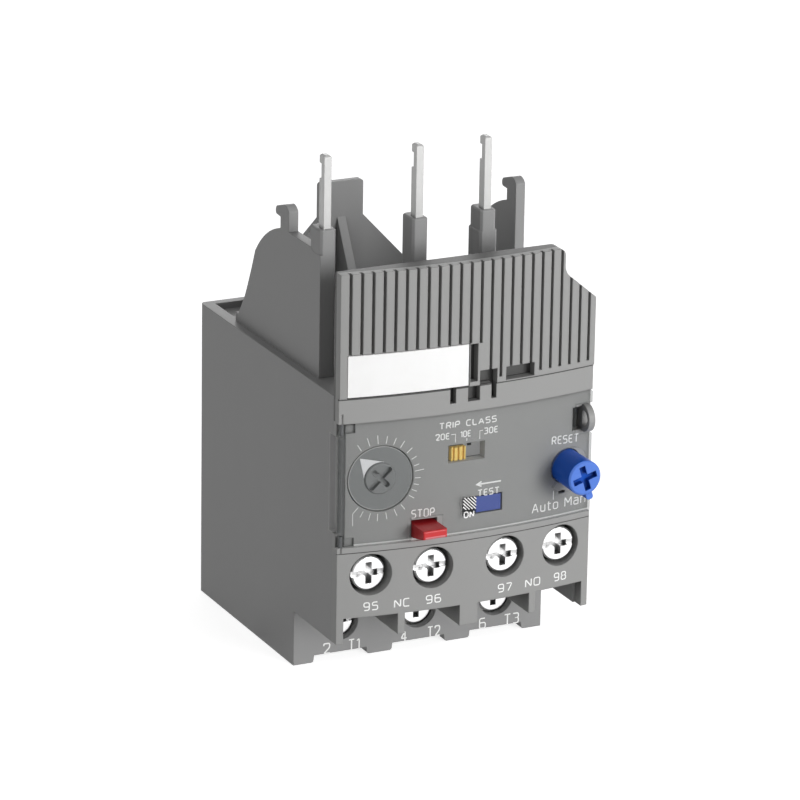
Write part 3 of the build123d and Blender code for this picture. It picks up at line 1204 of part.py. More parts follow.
os.makedirs("parts", exist_ok=True)
for name, shape in all_parts().items():
    solids = shape if isinstance(shape, list) else [shape]
    placed = [Pos(0, -BODY_DEPTH, 0) * solid for solid in solids]
    export_step(placed[0] if len(placed) == 1 else Compound(children=placed), f"parts/{name}.step")
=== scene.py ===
# %% [markdown]
# # An electronic overload relay, dressed in Blender
# The relay hangs under a contactor and guards a motor. Its solids come from a CAD model that
# is loaded as a fixed frame, in metres, with the rear face at y = 0 and the foot at z = 0.
# Blender adds what a solid model lacks: moulded, plated and printed surfaces, lettering,
# round wire springs, light and a camera.

# %% Load the frame
import json
import math

import bpy
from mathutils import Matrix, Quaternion, Vector


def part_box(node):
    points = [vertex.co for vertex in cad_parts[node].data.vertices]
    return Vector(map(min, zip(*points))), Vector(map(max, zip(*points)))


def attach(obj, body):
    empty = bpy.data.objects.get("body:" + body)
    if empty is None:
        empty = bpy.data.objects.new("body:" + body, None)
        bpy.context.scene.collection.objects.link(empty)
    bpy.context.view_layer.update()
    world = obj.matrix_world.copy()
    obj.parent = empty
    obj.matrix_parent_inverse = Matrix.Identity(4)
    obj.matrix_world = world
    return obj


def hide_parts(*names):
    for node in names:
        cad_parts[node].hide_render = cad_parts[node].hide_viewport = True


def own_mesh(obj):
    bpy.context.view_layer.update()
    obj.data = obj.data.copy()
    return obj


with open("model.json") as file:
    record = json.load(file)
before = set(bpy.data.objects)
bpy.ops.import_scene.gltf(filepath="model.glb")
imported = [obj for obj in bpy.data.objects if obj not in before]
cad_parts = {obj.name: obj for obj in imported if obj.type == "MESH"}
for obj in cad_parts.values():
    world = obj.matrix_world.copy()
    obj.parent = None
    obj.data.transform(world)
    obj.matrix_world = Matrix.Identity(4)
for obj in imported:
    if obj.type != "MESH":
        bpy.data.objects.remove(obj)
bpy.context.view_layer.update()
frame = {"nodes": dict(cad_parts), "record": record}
nodes = frame["nodes"]
MM = 0.001

# %% [markdown]
# ## Where things are
# The front of the relay is one large cylinder. Everything that is printed on it has to know
# how deep that surface lies at a given x, so its radius and its centre are worked out once,
# from the width and the sag.

# %% The curved front
BODY_DEPTH = 53.8 * MM
HALF_WIDTH = 22.5 * MM
FRONT_SAG = 2.1 * MM
FRONT_RADIUS = (HALF_WIDTH ** 2 + FRONT_SAG ** 2) / (2 * FRONT_SAG)
FRONT_CENTRE = FRONT_RADIUS - FRONT_SAG - BODY_DEPTH


def front_y(x):
    """The y of the curved front at x."""
    return FRONT_CENTRE - math.sqrt(FRONT_RADIUS ** 2 - x ** 2)


print("front radius", round(FRONT_RADIUS, 4))

# %% [markdown]
# ## Camera
# The photograph was taken from the left and from above with a long lens, which keeps upright
# edges almost parallel. The camera was fitted to the straight edges of the relay, so its
# place, turn and slight roll are typed in here. Two small functions turn angles into a
# direction and make a thing look back along it. The lamps use them again at the end.

# %% Camera
CAMERA_PLACE = Vector((-0.36079, -0.76756, 0.32119))
CAMERA_AZIMUTH = -26.0541
CAMERA_ELEVATION = 18.9024
CAMERA_ROLL = 0.952
CAMERA_LENS = 240.0
SENSOR_WIDTH = 36.0
CLIP_NEAR = 0.05
CLIP_FAR = 20.0


def direction(azimuth, elevation):
    """The way out from the relay at two angles in degrees, seen from its front."""
    turn, lift = math.radians(azimuth), math.radians(elevation)
    return Vector((math.sin(turn) * math.cos(lift), -math.cos(turn) * math.cos(lift),
                   math.sin(lift)))


def look_back(thing, away, roll=0.0):
    """Turns a camera or a lamp against the direction in which it stands."""
    thing.rotation_mode = "QUATERNION"
    thing.rotation_quaternion = ((-away).to_track_quat("-Z", "Y")
                                 @ Quaternion((0, 0, 1), math.radians(roll)))


bpy.ops.object.camera_add(location=CAMERA_PLACE)
camera = bpy.context.object
camera.name = "camera"
look_back(camera, direction(CAMERA_AZIMUTH, CAMERA_ELEVATION), CAMERA_ROLL)
camera.data.lens = CAMERA_LENS
camera.data.sensor_width = SENSOR_WIDTH
camera.data.clip_start = CLIP_NEAR
camera.data.clip_end = CLIP_FAR
bpy.context.scene.camera = camera
bpy.context.scene.view_settings.view_transform = "Standard"
print("camera at", tuple(round(c, 3) for c in camera.location))

# %% [markdown]
# ## Writing shader maths as expressions
# A node material is a small program. Wiring it by hand is slow to read, so one class wraps a
# socket and turns +, -, * and / into Math nodes. Masks come from comparisons, which give one
# where they hold and zero elsewhere.

# %% Sockets in arithmetic
class Value:
    """An output socket that takes part in arithmetic."""

    def __init__(self, graph, socket):
        self.graph, self.socket = graph, socket

    def maths(self, operation, first, second=None):
        inputs = {0: first} if second is None else {0: first, 1: second}
        return self.graph.node("ShaderNodeMath", {"operation": operation}, inputs)

    def __add__(self, other): return self.maths("ADD", self, other)
    def __radd__(self, other): return self.maths("ADD", other, self)
    def __sub__(self, other): return self.maths("SUBTRACT", self, other)
    def __rsub__(self, other): return self.maths("SUBTRACT", other, self)
    def __mul__(self, other): return self.maths("MULTIPLY", self, other)
    def __truediv__(self, other): return self.maths("DIVIDE", self, other)
    def __abs__(self): return self.maths("ABSOLUTE", self)
    def above(self, other): return self.maths("GREATER_THAN", self, other)
    def below(self, other): return self.maths("LESS_THAN", self, other)
    def within(self, low, high): return self.above(low) * self.below(high)
    def larger(self, other): return self.maths("MAXIMUM", self, other)
    def smaller(self, other): return self.maths("MINIMUM", self, other)
    def power(self, other): return self.maths("POWER", self, other)

    def bands(self, pitch):
        """A wave between zero and one that comes back after each pitch."""
        return self.maths("SINE", self * (2 * math.pi / pitch)) * 0.5 + 0.5


# %% [markdown]
# ## Trees and materials
# A second class holds a node tree and makes any node of it in one call. A material is such a
# tree with a Principled shader, so a third class adds the moves that come back in every
# finish: object coordinates, noise, a test for open air, mixing and bump. The Mix node has
# sockets of one name for each kind of data, so its colour sockets are picked by number. The
# materials below then read like formulas.

# %% Node trees
OPENNESS_SAMPLES = 8
BEVEL_SAMPLES = 4
MIX_COLOURS = (6, 7)
MIX_RESULT = 2


class Graph:
    """A node tree in which one call makes a node."""

    def __init__(self, tree):
        self.tree = tree

    def link(self, value, socket):
        self.tree.links.new(value.socket, socket)

    def node(self, kind, settings=None, inputs=None, output=0):
        """Adds a node, sets it up, then its sockets, and gives one of its outputs."""
        made = self.tree.nodes.new(kind)
        for name, setting in (settings or {}).items():
            setattr(made, name, setting)
        for name, value in (inputs or {}).items():
            if isinstance(value, Value):
                self.link(value, made.inputs[name])
            else:
                made.inputs[name].default_value = value
        return Value(self, made.outputs[output])


class Finish(Graph):
    """A material whose Principled shader is fed by expressions."""

    def __init__(self, name, colour, roughness, metallic=0.0):
        self.material = bpy.data.materials.new(name)
        self.material.use_nodes = True
        super().__init__(self.material.node_tree)
        self.shader = self.tree.nodes["Principled BSDF"]
        self.set("Base Color", (*colour, 1.0))
        self.set("Roughness", roughness)
        self.set("Metallic", metallic)

    def set(self, socket, value):
        self.shader.inputs[socket].default_value = value

    def feed(self, socket, value):
        self.link(value, self.shader.inputs[socket])

    def place(self, centre=(0, 0, 0), turn=(0, 0, 0), stretch=(1, 1, 1)):
        """Object coordinates, moved so that centre becomes the origin."""
        spot = self.node("ShaderNodeTexCoord", output="Object")
        moved = self.node("ShaderNodeVectorMath", {"operation": "SUBTRACT"},
                          {0: spot, 1: centre})
        return self.node("ShaderNodeMapping", inputs={"Vector": moved, "Rotation": turn,
                                                      "Scale": stretch})

    def axes(self, place):
        """The x, y and z of a place."""
        split = self.node("ShaderNodeSeparateXYZ", inputs={0: place}).socket.node
        return [Value(self, output) for output in split.outputs]

    def noise(self, place, size, detail=2.0):
        """Noise whose blots are about size metres wide."""
        return self.node("ShaderNodeTexNoise",
                         inputs={"Vector": place, "Scale": 1.0 / size, "Detail": detail})

    def openness(self, reach):
        """One on an open face, falling to zero in slots and corners narrower than reach."""
        return self.node("ShaderNodeAmbientOcclusion",
                         {"samples": OPENNESS_SAMPLES, "only_local": True},
                         {"Distance": reach}, output="AO")

    def mix(self, factor, first, second):
        """The first colour where the factor is zero and the second where it is one."""
        inputs = {0: factor}
        for socket, colour in zip(MIX_COLOURS, (first, second)):
            inputs[socket] = (*colour, 1.0) if isinstance(colour, tuple) else colour
        return self.node("ShaderNodeMix", {"data_type": "RGBA"}, inputs, MIX_RESULT)

    def bump(self, height, depth, edge=None):
        """Feeds the normal with a height and, where given, rounded edges."""
        inputs = {"Height": height, "Distance": depth, "Strength": 1.0}
        if edge:
            inputs["Normal"] = self.node("ShaderNodeBevel", {"samples": BEVEL_SAMPLES},
                                         {"Radius": edge})
        self.feed("Normal", self.node("ShaderNodeBump", inputs=inputs))


# %% [markdown]
# ## Colours and slots
# Colours are typed as screen values and turned into linear light, which is what a shader
# works in. Each CAD node names a material slot in the record, so a finish is handed to all
# nodes of one slot at once.

# %% Colours and slots
def shade(colour, factor):
    return tuple(min(1.0, channel * factor) for channel in colour)


def srgb(red, green, blue):
    """A colour given as screen values from 0 to 255, in linear light."""
    channels = [c / 255.0 for c in (red, green, blue)]
    return tuple(c / 12.92 if c <= 0.04045 else ((c + 0.055) / 1.055) ** 2.4
                 for c in channels)


def dress(slot, finish):
    """Gives a finish to every CAD node of one material slot."""
    for part in frame["record"]["subparts"]:
        if part["material_slot"] == slot:
            materials = nodes[part["node"]].data.materials
            materials.clear()
            materials.append(finish.material)
            print(slot, "->", part["node"])


# %% [markdown]
# ## Moulded grey plastic
# The body is glass filled nylon. Close up it isn't one grey: the surface has a fine spark
# eroded grain, faint flow marks from the mould, and edges that are rounded a little by the
# tool. Two noises give grain and tone. A Bevel node rounds the shading at the edges, which
# catches a soft line of light there as the real edges do. An Ambient Occlusion node tells how
# shut in a point is: slots, wells and seams get painted shade, a darker colour, because
# little light finds its way back out. A steeper fall makes the painted shade in deep wells
# darker still and leaves open faces as they are.

# %% Moulded plastic
EDGE_ROUND = 0.22 * MM
GRAIN = 0.28 * MM
GRAIN_DEPTH = 0.006 * MM
GRAIN_SHARE = 0.35
GRAIN_ROUGHNESS = 0.12
FLOW = 9.0 * MM
FLOW_STRETCH = (1.0, 1.0, 0.35)
SLOT_REACH = 4.0 * MM
BODY_GREY = srgb(146, 146, 146)


def moulded(name, colour, roughness=0.52, grain_depth=GRAIN_DEPTH, tone=0.04,
            edge=EDGE_ROUND, shade_keep=0.35, steep=1.0):
    """Grainy plastic whose slots get painted shade, keeping a share, shade_keep, of its
    colour.
    """
    finish = Finish(name, colour, roughness)
    grain = finish.noise(finish.place(), GRAIN)
    flow = finish.noise(finish.place(stretch=FLOW_STRETCH), FLOW, detail=3.0)
    blend = grain * GRAIN_SHARE + flow * (1 - GRAIN_SHARE)
    skin = finish.mix(blend, shade(colour, 1 - tone), shade(colour, 1 + tone))
    # Painted shade: in slots and corners the colour falls to the share shade_keep.
    open_air = finish.openness(SLOT_REACH).power(steep)
    finish.feed("Base Color", finish.mix(open_air, shade(colour, shade_keep), skin))
    finish.feed("Roughness", roughness - GRAIN_ROUGHNESS / 2 + grain * GRAIN_ROUGHNESS)
    finish.bump(grain, grain_depth, edge)
    return finish


for slot, name, colour, roughness in (
        ("frame_plastic", "frame_grey", BODY_GREY, 0.52),
        ("carrier_plastic", "carrier_ivory", srgb(226, 221, 205), 0.45),
        ("lever_plastic", "lever_red", srgb(190, 60, 40), 0.45),
        ("chassis_plastic", "chassis_black", srgb(42, 42, 44), 0.5),
        ("pot_blue", "potentiometer_blue", srgb(44, 74, 132), 0.4),
        ("stem_white", "stem_white", srgb(214, 214, 210), 0.42)):
    dress(slot, moulded(name, colour, roughness))

# %% [markdown]
# ## Painted light and shade on parts of a moulding
# Some faces of one moulding get painted light or shade. A mask made from the position picks
# them out, and the painted tone is mixed over what the material had. The front is curved, so
# the depth of a point is measured from the arc, and round the dial the distance from its
# middle counts.

# %% Masks by position
def paint_light_or_shade(finish, mask, colour):
    """Paints light or shade on a masked part of a finish, over what is there."""
    under = Value(finish, finish.shader.inputs["Base Color"].links[0].from_socket)
    finish.feed("Base Color", finish.mix(mask, under, colour))


def behind_front(finish):
    """How far a point lies behind the curved front."""
    x, y, _ = finish.axes(finish.place())
    return y + (FRONT_RADIUS ** 2 - x * x).power(0.5) - FRONT_CENTRE


def middle(node):
    """The middle of a CAD node's box."""
    low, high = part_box(node)
    return tuple((low + high) / 2)


def off_dial(finish):
    """How far a point lies from the middle of the dial."""
    x, _, z = finish.axes(finish.place(centre=middle("dial")))
    return (x * x + z * z).power(0.5)


# %% [markdown]
# ## Panel and ribs
# The slots in the ribs and the band get painted shade inside. The bore round the dial, the
# walls of the class window and the gap under the cover get painted light and are kept pale,
# or these narrow places would draw heavy lines of shade. A thin line of painted shade marks
# the seam between the band and the ribbed panel.

# %% Panel and ribs
FIELD_DEPTH = 0.66 * MM
SLOT_BACK = 1.2 * MM
BAND_FOOT = 46.6 * MM
SLOT_SHADE_TONE = srgb(66, 66, 65)
BORE_RADIUS = 5.7 * MM
BORE_LIGHT_TONE = srgb(186, 186, 185)
SEAM_DEPTH = 0.3 * MM
SEAM_SHADE_TONE = srgb(52, 52, 51)
PANEL_SEAM = 50.36 * MM
GAP_FOOT = 25.55 * MM
GAP_TOP = 25.98 * MM
GAP_DEPTH = 0.1 * MM
GAP_LIGHT_TONE = srgb(214, 214, 213)
WINDOW_MIDDLE = (-0.65 * MM, 0.0, 39.4 * MM)
WINDOW_HALF_WIDTH = 3.35 * MM
WINDOW_HALF_HEIGHT = 1.6 * MM

for slot, shade_keep in (("panel_plastic", 0.5), ("rib_plastic", 0.8)):
    front = moulded(slot, srgb(151, 151, 150), shade_keep=shade_keep)
    depth = behind_front(front)
    _, _, front_z = front.axes(front.place())
    # Painted shade inside the slots of the ribs and the band.
    paint_light_or_shade(front, depth.above(SLOT_BACK) * front_z.above(BAND_FOOT), SLOT_SHADE_TONE)
    # Painted light on the bore round the dial, so its gap draws no dark line.
    paint_light_or_shade(front, depth.above(FIELD_DEPTH) * off_dial(front).below(BORE_RADIUS), BORE_LIGHT_TONE)
    if slot == "panel_plastic":
        # Painted shade as a thin line at the seam between the band and the ribbed panel.
        paint_light_or_shade(front, front_z.above(PANEL_SEAM) * depth.below(SEAM_DEPTH), SEAM_SHADE_TONE)
        # Painted light in the gap under the cover.
        gap = front_z.within(GAP_FOOT, GAP_TOP) * depth.within(GAP_DEPTH, FIELD_DEPTH)
        paint_light_or_shade(front, gap, GAP_LIGHT_TONE)
        # Painted light on the walls of the class window.
        across, _, up = front.axes(front.place(centre=WINDOW_MIDDLE))
        window = (abs(across).below(WINDOW_HALF_WIDTH) * abs(up).below(WINDOW_HALF_HEIGHT)
                  * depth.above(FIELD_DEPTH))
        paint_light_or_shade(front, window, GAP_LIGHT_TONE)
    dress(slot, front)

# %% [markdown]
# ## Block, dial and housing
# The wells of the block get steep painted shade, which makes them look deep, and its upper
# edge has the same line of painted shade at the seam as the panel. The rim of the dial and the
# groove of the hinge are narrow places again, so they get painted light and are pale.

# %% Block, dial and housing
BLOCK_SEAM = 24.62 * MM
RIM_RADIUS = 5.22 * MM
GROOVE_FLOOR = -21.3 * MM
GROOVE_BACK = -50.6 * MM
HINGE_MIDDLE = 36.05 * MM
GROOVE_HALF = 8.2 * MM
GROOVE_LIGHT_TONE = srgb(206, 206, 206)

# Steep painted shade in the wells: they keep only a small share of the colour.
block = moulded("block_grey", srgb(149, 149, 148), shade_keep=0.12, steep=3.0)
_, _, block_z = block.axes(block.place())
# Painted shade as a thin line at the seam along the upper edge.
paint_light_or_shade(block, block_z.above(BLOCK_SEAM) * behind_front(block).below(SEAM_DEPTH), SEAM_SHADE_TONE)
dress("block_plastic", block)

dial = moulded("dial_grey", srgb(127, 129, 129), 0.45, shade_keep=0.8)
# Painted light on the rim of the dial, so the gap round it draws no dark ring.
paint_light_or_shade(dial, off_dial(dial).above(RIM_RADIUS), BORE_LIGHT_TONE)
dress("dial_grey", dial)

housing = moulded("housing_grey", BODY_GREY, shade_keep=0.7)
housing_x, housing_y, housing_z = housing.axes(housing.place())
# Painted light in the groove of the hinge, where the body shades it from the key lamp.
groove = (housing_x.below(GROOVE_FLOOR) * housing_y.below(GROOVE_BACK)
          * abs(housing_z - HINGE_MIDDLE).below(GROOVE_HALF))
paint_light_or_shade(housing, groove, GROOVE_LIGHT_TONE)
dress("housing_plastic", housing)

# %% [markdown]
# ## The class switch
# Behind the yellow slider the face of the switch closes the window. Its seen face gets a pale
# grey: a grey tone that is brightened further as painted light. It also glows weakly, painted
# light in place of the light that it would catch if it lay just behind the window.

# %% Class switch
SWITCH_FACE = -50.5 * MM
SWITCH_PAINTED_GLOW = (0.2, 0.2, 0.2)
BLACK = (0.0, 0.0, 0.0)

switch = moulded("switch_black", srgb(36, 36, 38), 0.42)
_, switch_y, _ = switch.axes(switch.place())
# Painted light: the seen face is pale grey and glows weakly.
painted_light_face = switch_y.below(SWITCH_FACE)
paint_light_or_shade(switch, painted_light_face, srgb(190, 190, 189))
switch.feed("Emission Color", switch.mix(painted_light_face, BLACK, SWITCH_PAINTED_GLOW))
switch.set("Emission Strength", 1.0)
dress("switch_black", switch)

# %% [markdown]
# ## Coloured operating pieces
# What a hand touches is moulded in bright, slightly shiny plastic. The red stop button and
# the blue reset knob have a smoother skin than the body, so they get less grain, a lower
# roughness and a thin clear coat that gives them a second, sharper highlight. The stop button
# gets painted shade towards its root, and its front a pale pink strip with faint ridge bands,
# a painted reflection.

# %% Stop button and pointer
GLOSSY_GRAIN = 0.002 * MM
COAT_ROUGHNESS = 0.12
STOP_SHADE = 4.2 * MM
STOP_SHADE_SHARE = 0.45
STOP_SHEEN_DEPTH = 0.9 * MM
STOP_SHEEN_HALF = 1.75 * MM
STOP_SHEEN_FOOT = 26.6 * MM
STOP_SHEEN_TOP = 27.5 * MM
STOP_RIDGE = 0.3 * MM


def glossy(name, colour, roughness, coat):
    """Smoother plastic under a thin clear coat."""
    finish = moulded(name, colour, roughness, GLOSSY_GRAIN)
    finish.set("Coat Weight", coat)
    finish.set("Coat Roughness", COAT_ROUGHNESS)
    return finish


stop = glossy("stop_red", srgb(200, 24, 30), roughness=0.4, coat=0.12)
stop_low, stop_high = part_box("stop_button")
stop_front = ((stop_low.x + stop_high.x) / 2, stop_low.y, 0)
stop_x, stop_depth, stop_z = stop.axes(stop.place(centre=stop_front))
# Painted shade towards the root of the button.
root = (stop_depth / STOP_SHADE).smaller(1.0) * STOP_SHADE_SHARE
paint_light_or_shade(stop, root, srgb(96, 26, 34))
# Painted reflection: a pale pink strip with faint ridge bands on the front.
sheen_strip = (stop_depth.below(STOP_SHEEN_DEPTH) * abs(stop_x).below(STOP_SHEEN_HALF)
        * stop_z.within(STOP_SHEEN_FOOT, STOP_SHEEN_TOP))
ridged_sheen = stop.mix(stop_z.bands(STOP_RIDGE), srgb(200, 96, 104), srgb(222, 128, 134))
paint_light_or_shade(stop, sheen_strip, ridged_sheen)
dress("stop_red", stop)
dress("pointer_white", moulded("pointer_white", srgb(240, 240, 242), 0.5, tone=0.02))

# %% [markdown]
# ## Reset knob and sliders
# The knob shows a lighter face, which is a painted highlight, with a dark cross slot, which is
# painted shade, and a deeper blue round its barrel. Of a slider only the finger piece is
# bright. Its flange, which slides behind the window of the panel, is a quiet grey or black.

# %% Reset knob and sliders
KNOB_FACE = 0.25 * MM
KNOB_REACH = 1.2 * MM
KNOB_OPEN = 0.8
KNOB_SLOT_SHADE = 0.9
KNOB_SHINE = 0.2
TWO_TONE = 0.04
FLANGE_DEPTH = 1.6 * MM


def tones_or_highlight(finish, mask, here, there):
    """Two tones split by a mask, with the grain kept; one may be a painted highlight."""
    grain = finish.noise(finish.place(), GRAIN)
    outside, inside = [finish.mix(grain, shade(tone, 1 - TWO_TONE), shade(tone, 1 + TWO_TONE))
                       for tone in (there, here)]
    finish.feed("Base Color", finish.mix(mask, outside, inside))


knob = glossy("knob_blue", srgb(12, 72, 168), roughness=0.42, coat=0.08)
knob.set("Specular IOR Level", KNOB_SHINE)
knob_low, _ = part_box("reset_knob")
_, knob_depth, _ = knob.axes(knob.place(centre=tuple(knob_low)))
knob_open = knob.openness(KNOB_REACH)
# Painted highlight on the open face of the knob.
knob_face_highlight = knob_depth.below(KNOB_FACE) * knob_open.above(KNOB_OPEN)
tones_or_highlight(knob, knob_face_highlight, srgb(90, 132, 224), srgb(4, 86, 198))
# Painted shade in the cross slot.
paint_light_or_shade(knob, (1.0 - knob_open) * KNOB_SLOT_SHADE, srgb(2, 30, 96))
dress("knob_blue", knob)

for slot, colour, flange in (("slider_yellow", srgb(250, 214, 112), srgb(150, 150, 149)),
                             ("slider_blue", srgb(52, 76, 160), srgb(40, 40, 42))):
    slider = glossy(slot, colour, roughness=0.45, coat=0.1)
    _, slider_y, _ = slider.axes(slider.place())
    tones_or_highlight(slider, slider_y.below(front_y(0.0) + FLANGE_DEPTH), colour, flange)
    dress(slot, slider)

# %% [markdown]
# ## The marking plate
# The white plate is a bare label field, thin and smooth. A weak, wide noise is enough for it,
# because a perfectly even white looks cut out.

# %% Marking plate
LABEL_DUST = 3.0 * MM
LABEL_GRAIN = 0.4 * MM
LABEL_GRAIN_DEPTH = 0.002 * MM
LABEL_EDGE = 0.1 * MM
LABEL_ROUGHNESS = 0.34
DUST_ROUGHNESS = 0.1

label = Finish("label_white", srgb(244, 244, 243), 0.38)
dust = label.noise(label.place(), LABEL_DUST, detail=4.0)
label.feed("Base Color", label.mix(dust, srgb(248, 248, 247), srgb(255, 255, 255)))
label.feed("Roughness", LABEL_ROUGHNESS + dust * DUST_ROUGHNESS)
label.bump(label.noise(label.place(), LABEL_GRAIN), LABEL_GRAIN_DEPTH, LABEL_EDGE)
dress("label_white", label)

# %% [markdown]
# ## Plated metal
# Pins, screws and clamps are steel or copper with a thin plating. It shines, but never like a
# mirror: rolling and tumbling leave fine streaks. The streaks are a noise stretched along the
# part, which goes into the roughness and a very shallow bump. Slots and recesses get painted
# shade.

# %% Plated metal
STREAK = 0.22 * MM
STREAK_DEPTH = 0.003 * MM
STAIN = 2.2 * MM
STAIN_TONE = 0.06
METAL_REACH = 1.5 * MM
METAL_FALL = 1.5
METAL_EDGE = 0.12 * MM
ALONG_Z = (1, 1, 0.06)
EVEN = (1, 1, 1)


def plated(name, colour, roughness, stretch=ALONG_Z, streak=0.25, edge=METAL_EDGE,
           metallic=1.0, pit_shade=0.03):
    """Streaky metal whose slots get painted shade, keeping a share, pit, of its colour."""
    finish = Finish(name, colour, roughness, metallic)
    streaks = finish.noise(finish.place(stretch=stretch), STREAK, detail=3.0)
    stains = finish.noise(finish.place(), STAIN)
    skin = finish.mix(stains, shade(colour, 1 - STAIN_TONE), shade(colour, 1 + STAIN_TONE))
    # Painted shade: in slots and recesses the colour falls to the share pit.
    open_air = finish.openness(METAL_REACH).power(METAL_FALL)
    finish.feed("Base Color", finish.mix(open_air, shade(colour, pit_shade), skin))
    finish.feed("Roughness", roughness - streak / 2 + streaks * streak)
    finish.bump(streaks, STREAK_DEPTH, edge)
    return finish


dress("bar_metal", plated("tinned_bar", srgb(190, 190, 189), 0.42, metallic=0.35))
dress("screw_steel", plated("screw_zinc", srgb(246, 246, 246), 0.3, EVEN, streak=0.08,
                            edge=0.05 * MM, pit_shade=0.14))
dress("cage_steel", plated("cage_zinc", srgb(205, 205, 202), 0.4, stretch=(1, 0.1, 1)))
dress("contact_metal", plated("contact_alloy", srgb(214, 190, 140), 0.35))
dress("plunger_steel", plated("plunger_steel", srgb(196, 197, 199), 0.3, stretch=(1, 1, 12)))
dress("yoke_steel", plated("yoke_zinc", srgb(200, 200, 196), 0.38, stretch=(0.1, 1, 1)))
dress("spring_steel", plated("spring_steel", srgb(205, 206, 208), 0.3, EVEN))
dress("pin_steel", plated("pin_steel", srgb(96, 97, 99), 0.45, metallic=0.4))

# %% [markdown]
# ## Wound and stacked parts
# Behind the front sit the transformers and the trip magnet. Enamelled wire lies turn by turn
# and an iron core is a stack of sheets, so both get regular bands: a sine of the position
# along the winding or the stack, used for colour and for bump.

# %% Bands
BAND_SHARE = 0.75
BAND_STAIN = 1.8 * MM
BAND_DEPTH = 0.05 * MM
BAND_ROUGHNESS = 0.15


def banded(name, colour, dark, roughness, axis, pitch, metallic):
    """Turns of wire or sheets of iron that follow each other along an axis."""
    finish = Finish(name, colour, roughness, metallic)
    place = finish.place()
    band = finish.axes(place)["XYZ".index(axis)].bands(pitch)
    blend = band * BAND_SHARE + finish.noise(place, BAND_STAIN) * (1 - BAND_SHARE)
    finish.feed("Base Color", finish.mix(blend, dark, colour))
    finish.feed("Roughness", roughness + BAND_ROUGHNESS - band * BAND_ROUGHNESS)
    finish.bump(band, BAND_DEPTH)
    return finish


for slot, name, colour, dark, roughness, axis, pitch, metallic in (
        ("coil_copper", "coil_copper", srgb(196, 112, 58), srgb(96, 44, 20), 0.32,
         "X", 0.32 * MM, 0.8),
        ("winding_copper", "winding_copper", srgb(200, 108, 52), srgb(98, 42, 18), 0.3,
         "Z", 0.26 * MM, 0.8),
        ("core_steel", "core_sheets", srgb(112, 113, 116), srgb(54, 55, 58), 0.5,
         "Z", 0.5 * MM, 0.9)):
    dress(slot, banded(name, colour, dark, roughness, axis, pitch, metallic))

# %% [markdown]
# ## The circuit board
# The board is green solder mask over copper tracks, so its tracks are slightly raised and
# lighter. A brick texture, turned to face the front, lays them out.

# %% Circuit board
TRACK_LENGTH = 4.2 * MM
TRACK_PITCH = 1.1 * MM
TRACK_GAP = 0.16 * MM
TRACK_OFFSET = 0.37
TRACK_SQUASH = 1.6
TRACK_DEPTH = 0.03 * MM
TRACK_SHINE = 0.14
MASK_ROUGHNESS = 0.42

board = Finish("board_green", srgb(26, 104, 62), 0.35)
tracks = board.node("ShaderNodeTexBrick", {"offset": TRACK_OFFSET, "squash": TRACK_SQUASH},
                    {"Vector": board.place(turn=(math.pi / 2, 0, 0)), "Scale": 1.0,
                     "Brick Width": TRACK_LENGTH, "Row Height": TRACK_PITCH,
                     "Mortar Size": TRACK_GAP}, output="Fac")
board.feed("Base Color", board.mix(tracks, srgb(20, 88, 50), srgb(58, 140, 84)))
board.feed("Roughness", MASK_ROUGHNESS - tracks * TRACK_SHINE)
board.bump(tracks, TRACK_DEPTH)
dress("board_green", board)

# %% [markdown]
# ## Chip and capacitors
# The chip is one node with its legs, and a mask by distance from its middle turns the legs to
# metal. The capacitors wear a dark sleeve and leave a bright end, which a mask by depth picks
# out.

# %% Chip and capacitors
CHIP_BODY_HALF = 3.52 * MM
CHIP_GRAIN = 0.15 * MM
CHIP_GRAIN_DEPTH = 0.004 * MM
CHIP_EDGE = 0.1 * MM
CAN_END = -0.35 * MM
CAN_GRAIN = 0.3 * MM
CAN_GRAIN_DEPTH = 0.003 * MM
CAN_EDGE = 0.15 * MM


def part_metal(finish, mask, dark, bright, roughness, shine):
    """Dark plastic that turns to smoother bright metal where the mask is one."""
    finish.feed("Base Color", finish.mix(mask, dark, bright))
    finish.feed("Metallic", mask * 1.0)
    finish.feed("Roughness", roughness - mask * shine)


chip = Finish("chip_black", srgb(38, 38, 40), 0.5)
chip_place = chip.place(centre=middle("controller_chip"))
chip_x, _, chip_z = chip.axes(chip_place)
legs = abs(chip_x).larger(abs(chip_z)).above(CHIP_BODY_HALF)
part_metal(chip, legs, srgb(38, 38, 40), srgb(210, 210, 208), roughness=0.55, shine=0.25)
chip.bump(chip.noise(chip_place, CHIP_GRAIN), CHIP_GRAIN_DEPTH, CHIP_EDGE)
dress("chip_black", chip)

cans = Finish("can_aluminium", srgb(60, 66, 84), 0.4)
_, cans_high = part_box("capacitors")
can_place = cans.place(centre=tuple(cans_high))
_, can_y, _ = cans.axes(can_place)
part_metal(cans, can_y.above(CAN_END), srgb(46, 52, 74), srgb(206, 207, 209),
           roughness=0.42, shine=0.12)
cans.bump(cans.noise(can_place, CAN_GRAIN), CAN_GRAIN_DEPTH, CAN_EDGE)
dress("can_aluminium", cans)

# %% [markdown]
# ## The clear cover
# The cover is a slightly hazy polycarbonate window. Real glass would block the lamps behind
# it, because its shadow is dark unless caustics are traced, so the cover is a mix: mostly a
# transparent shader, and a grey gloss whose share grows where the view grazes the surface. The
# bead that the hinge pins hold and the free edge at the other side show more of the gloss. The
# bead also gets a darker grey, painted shade for the dark band that its thick plastic shows.

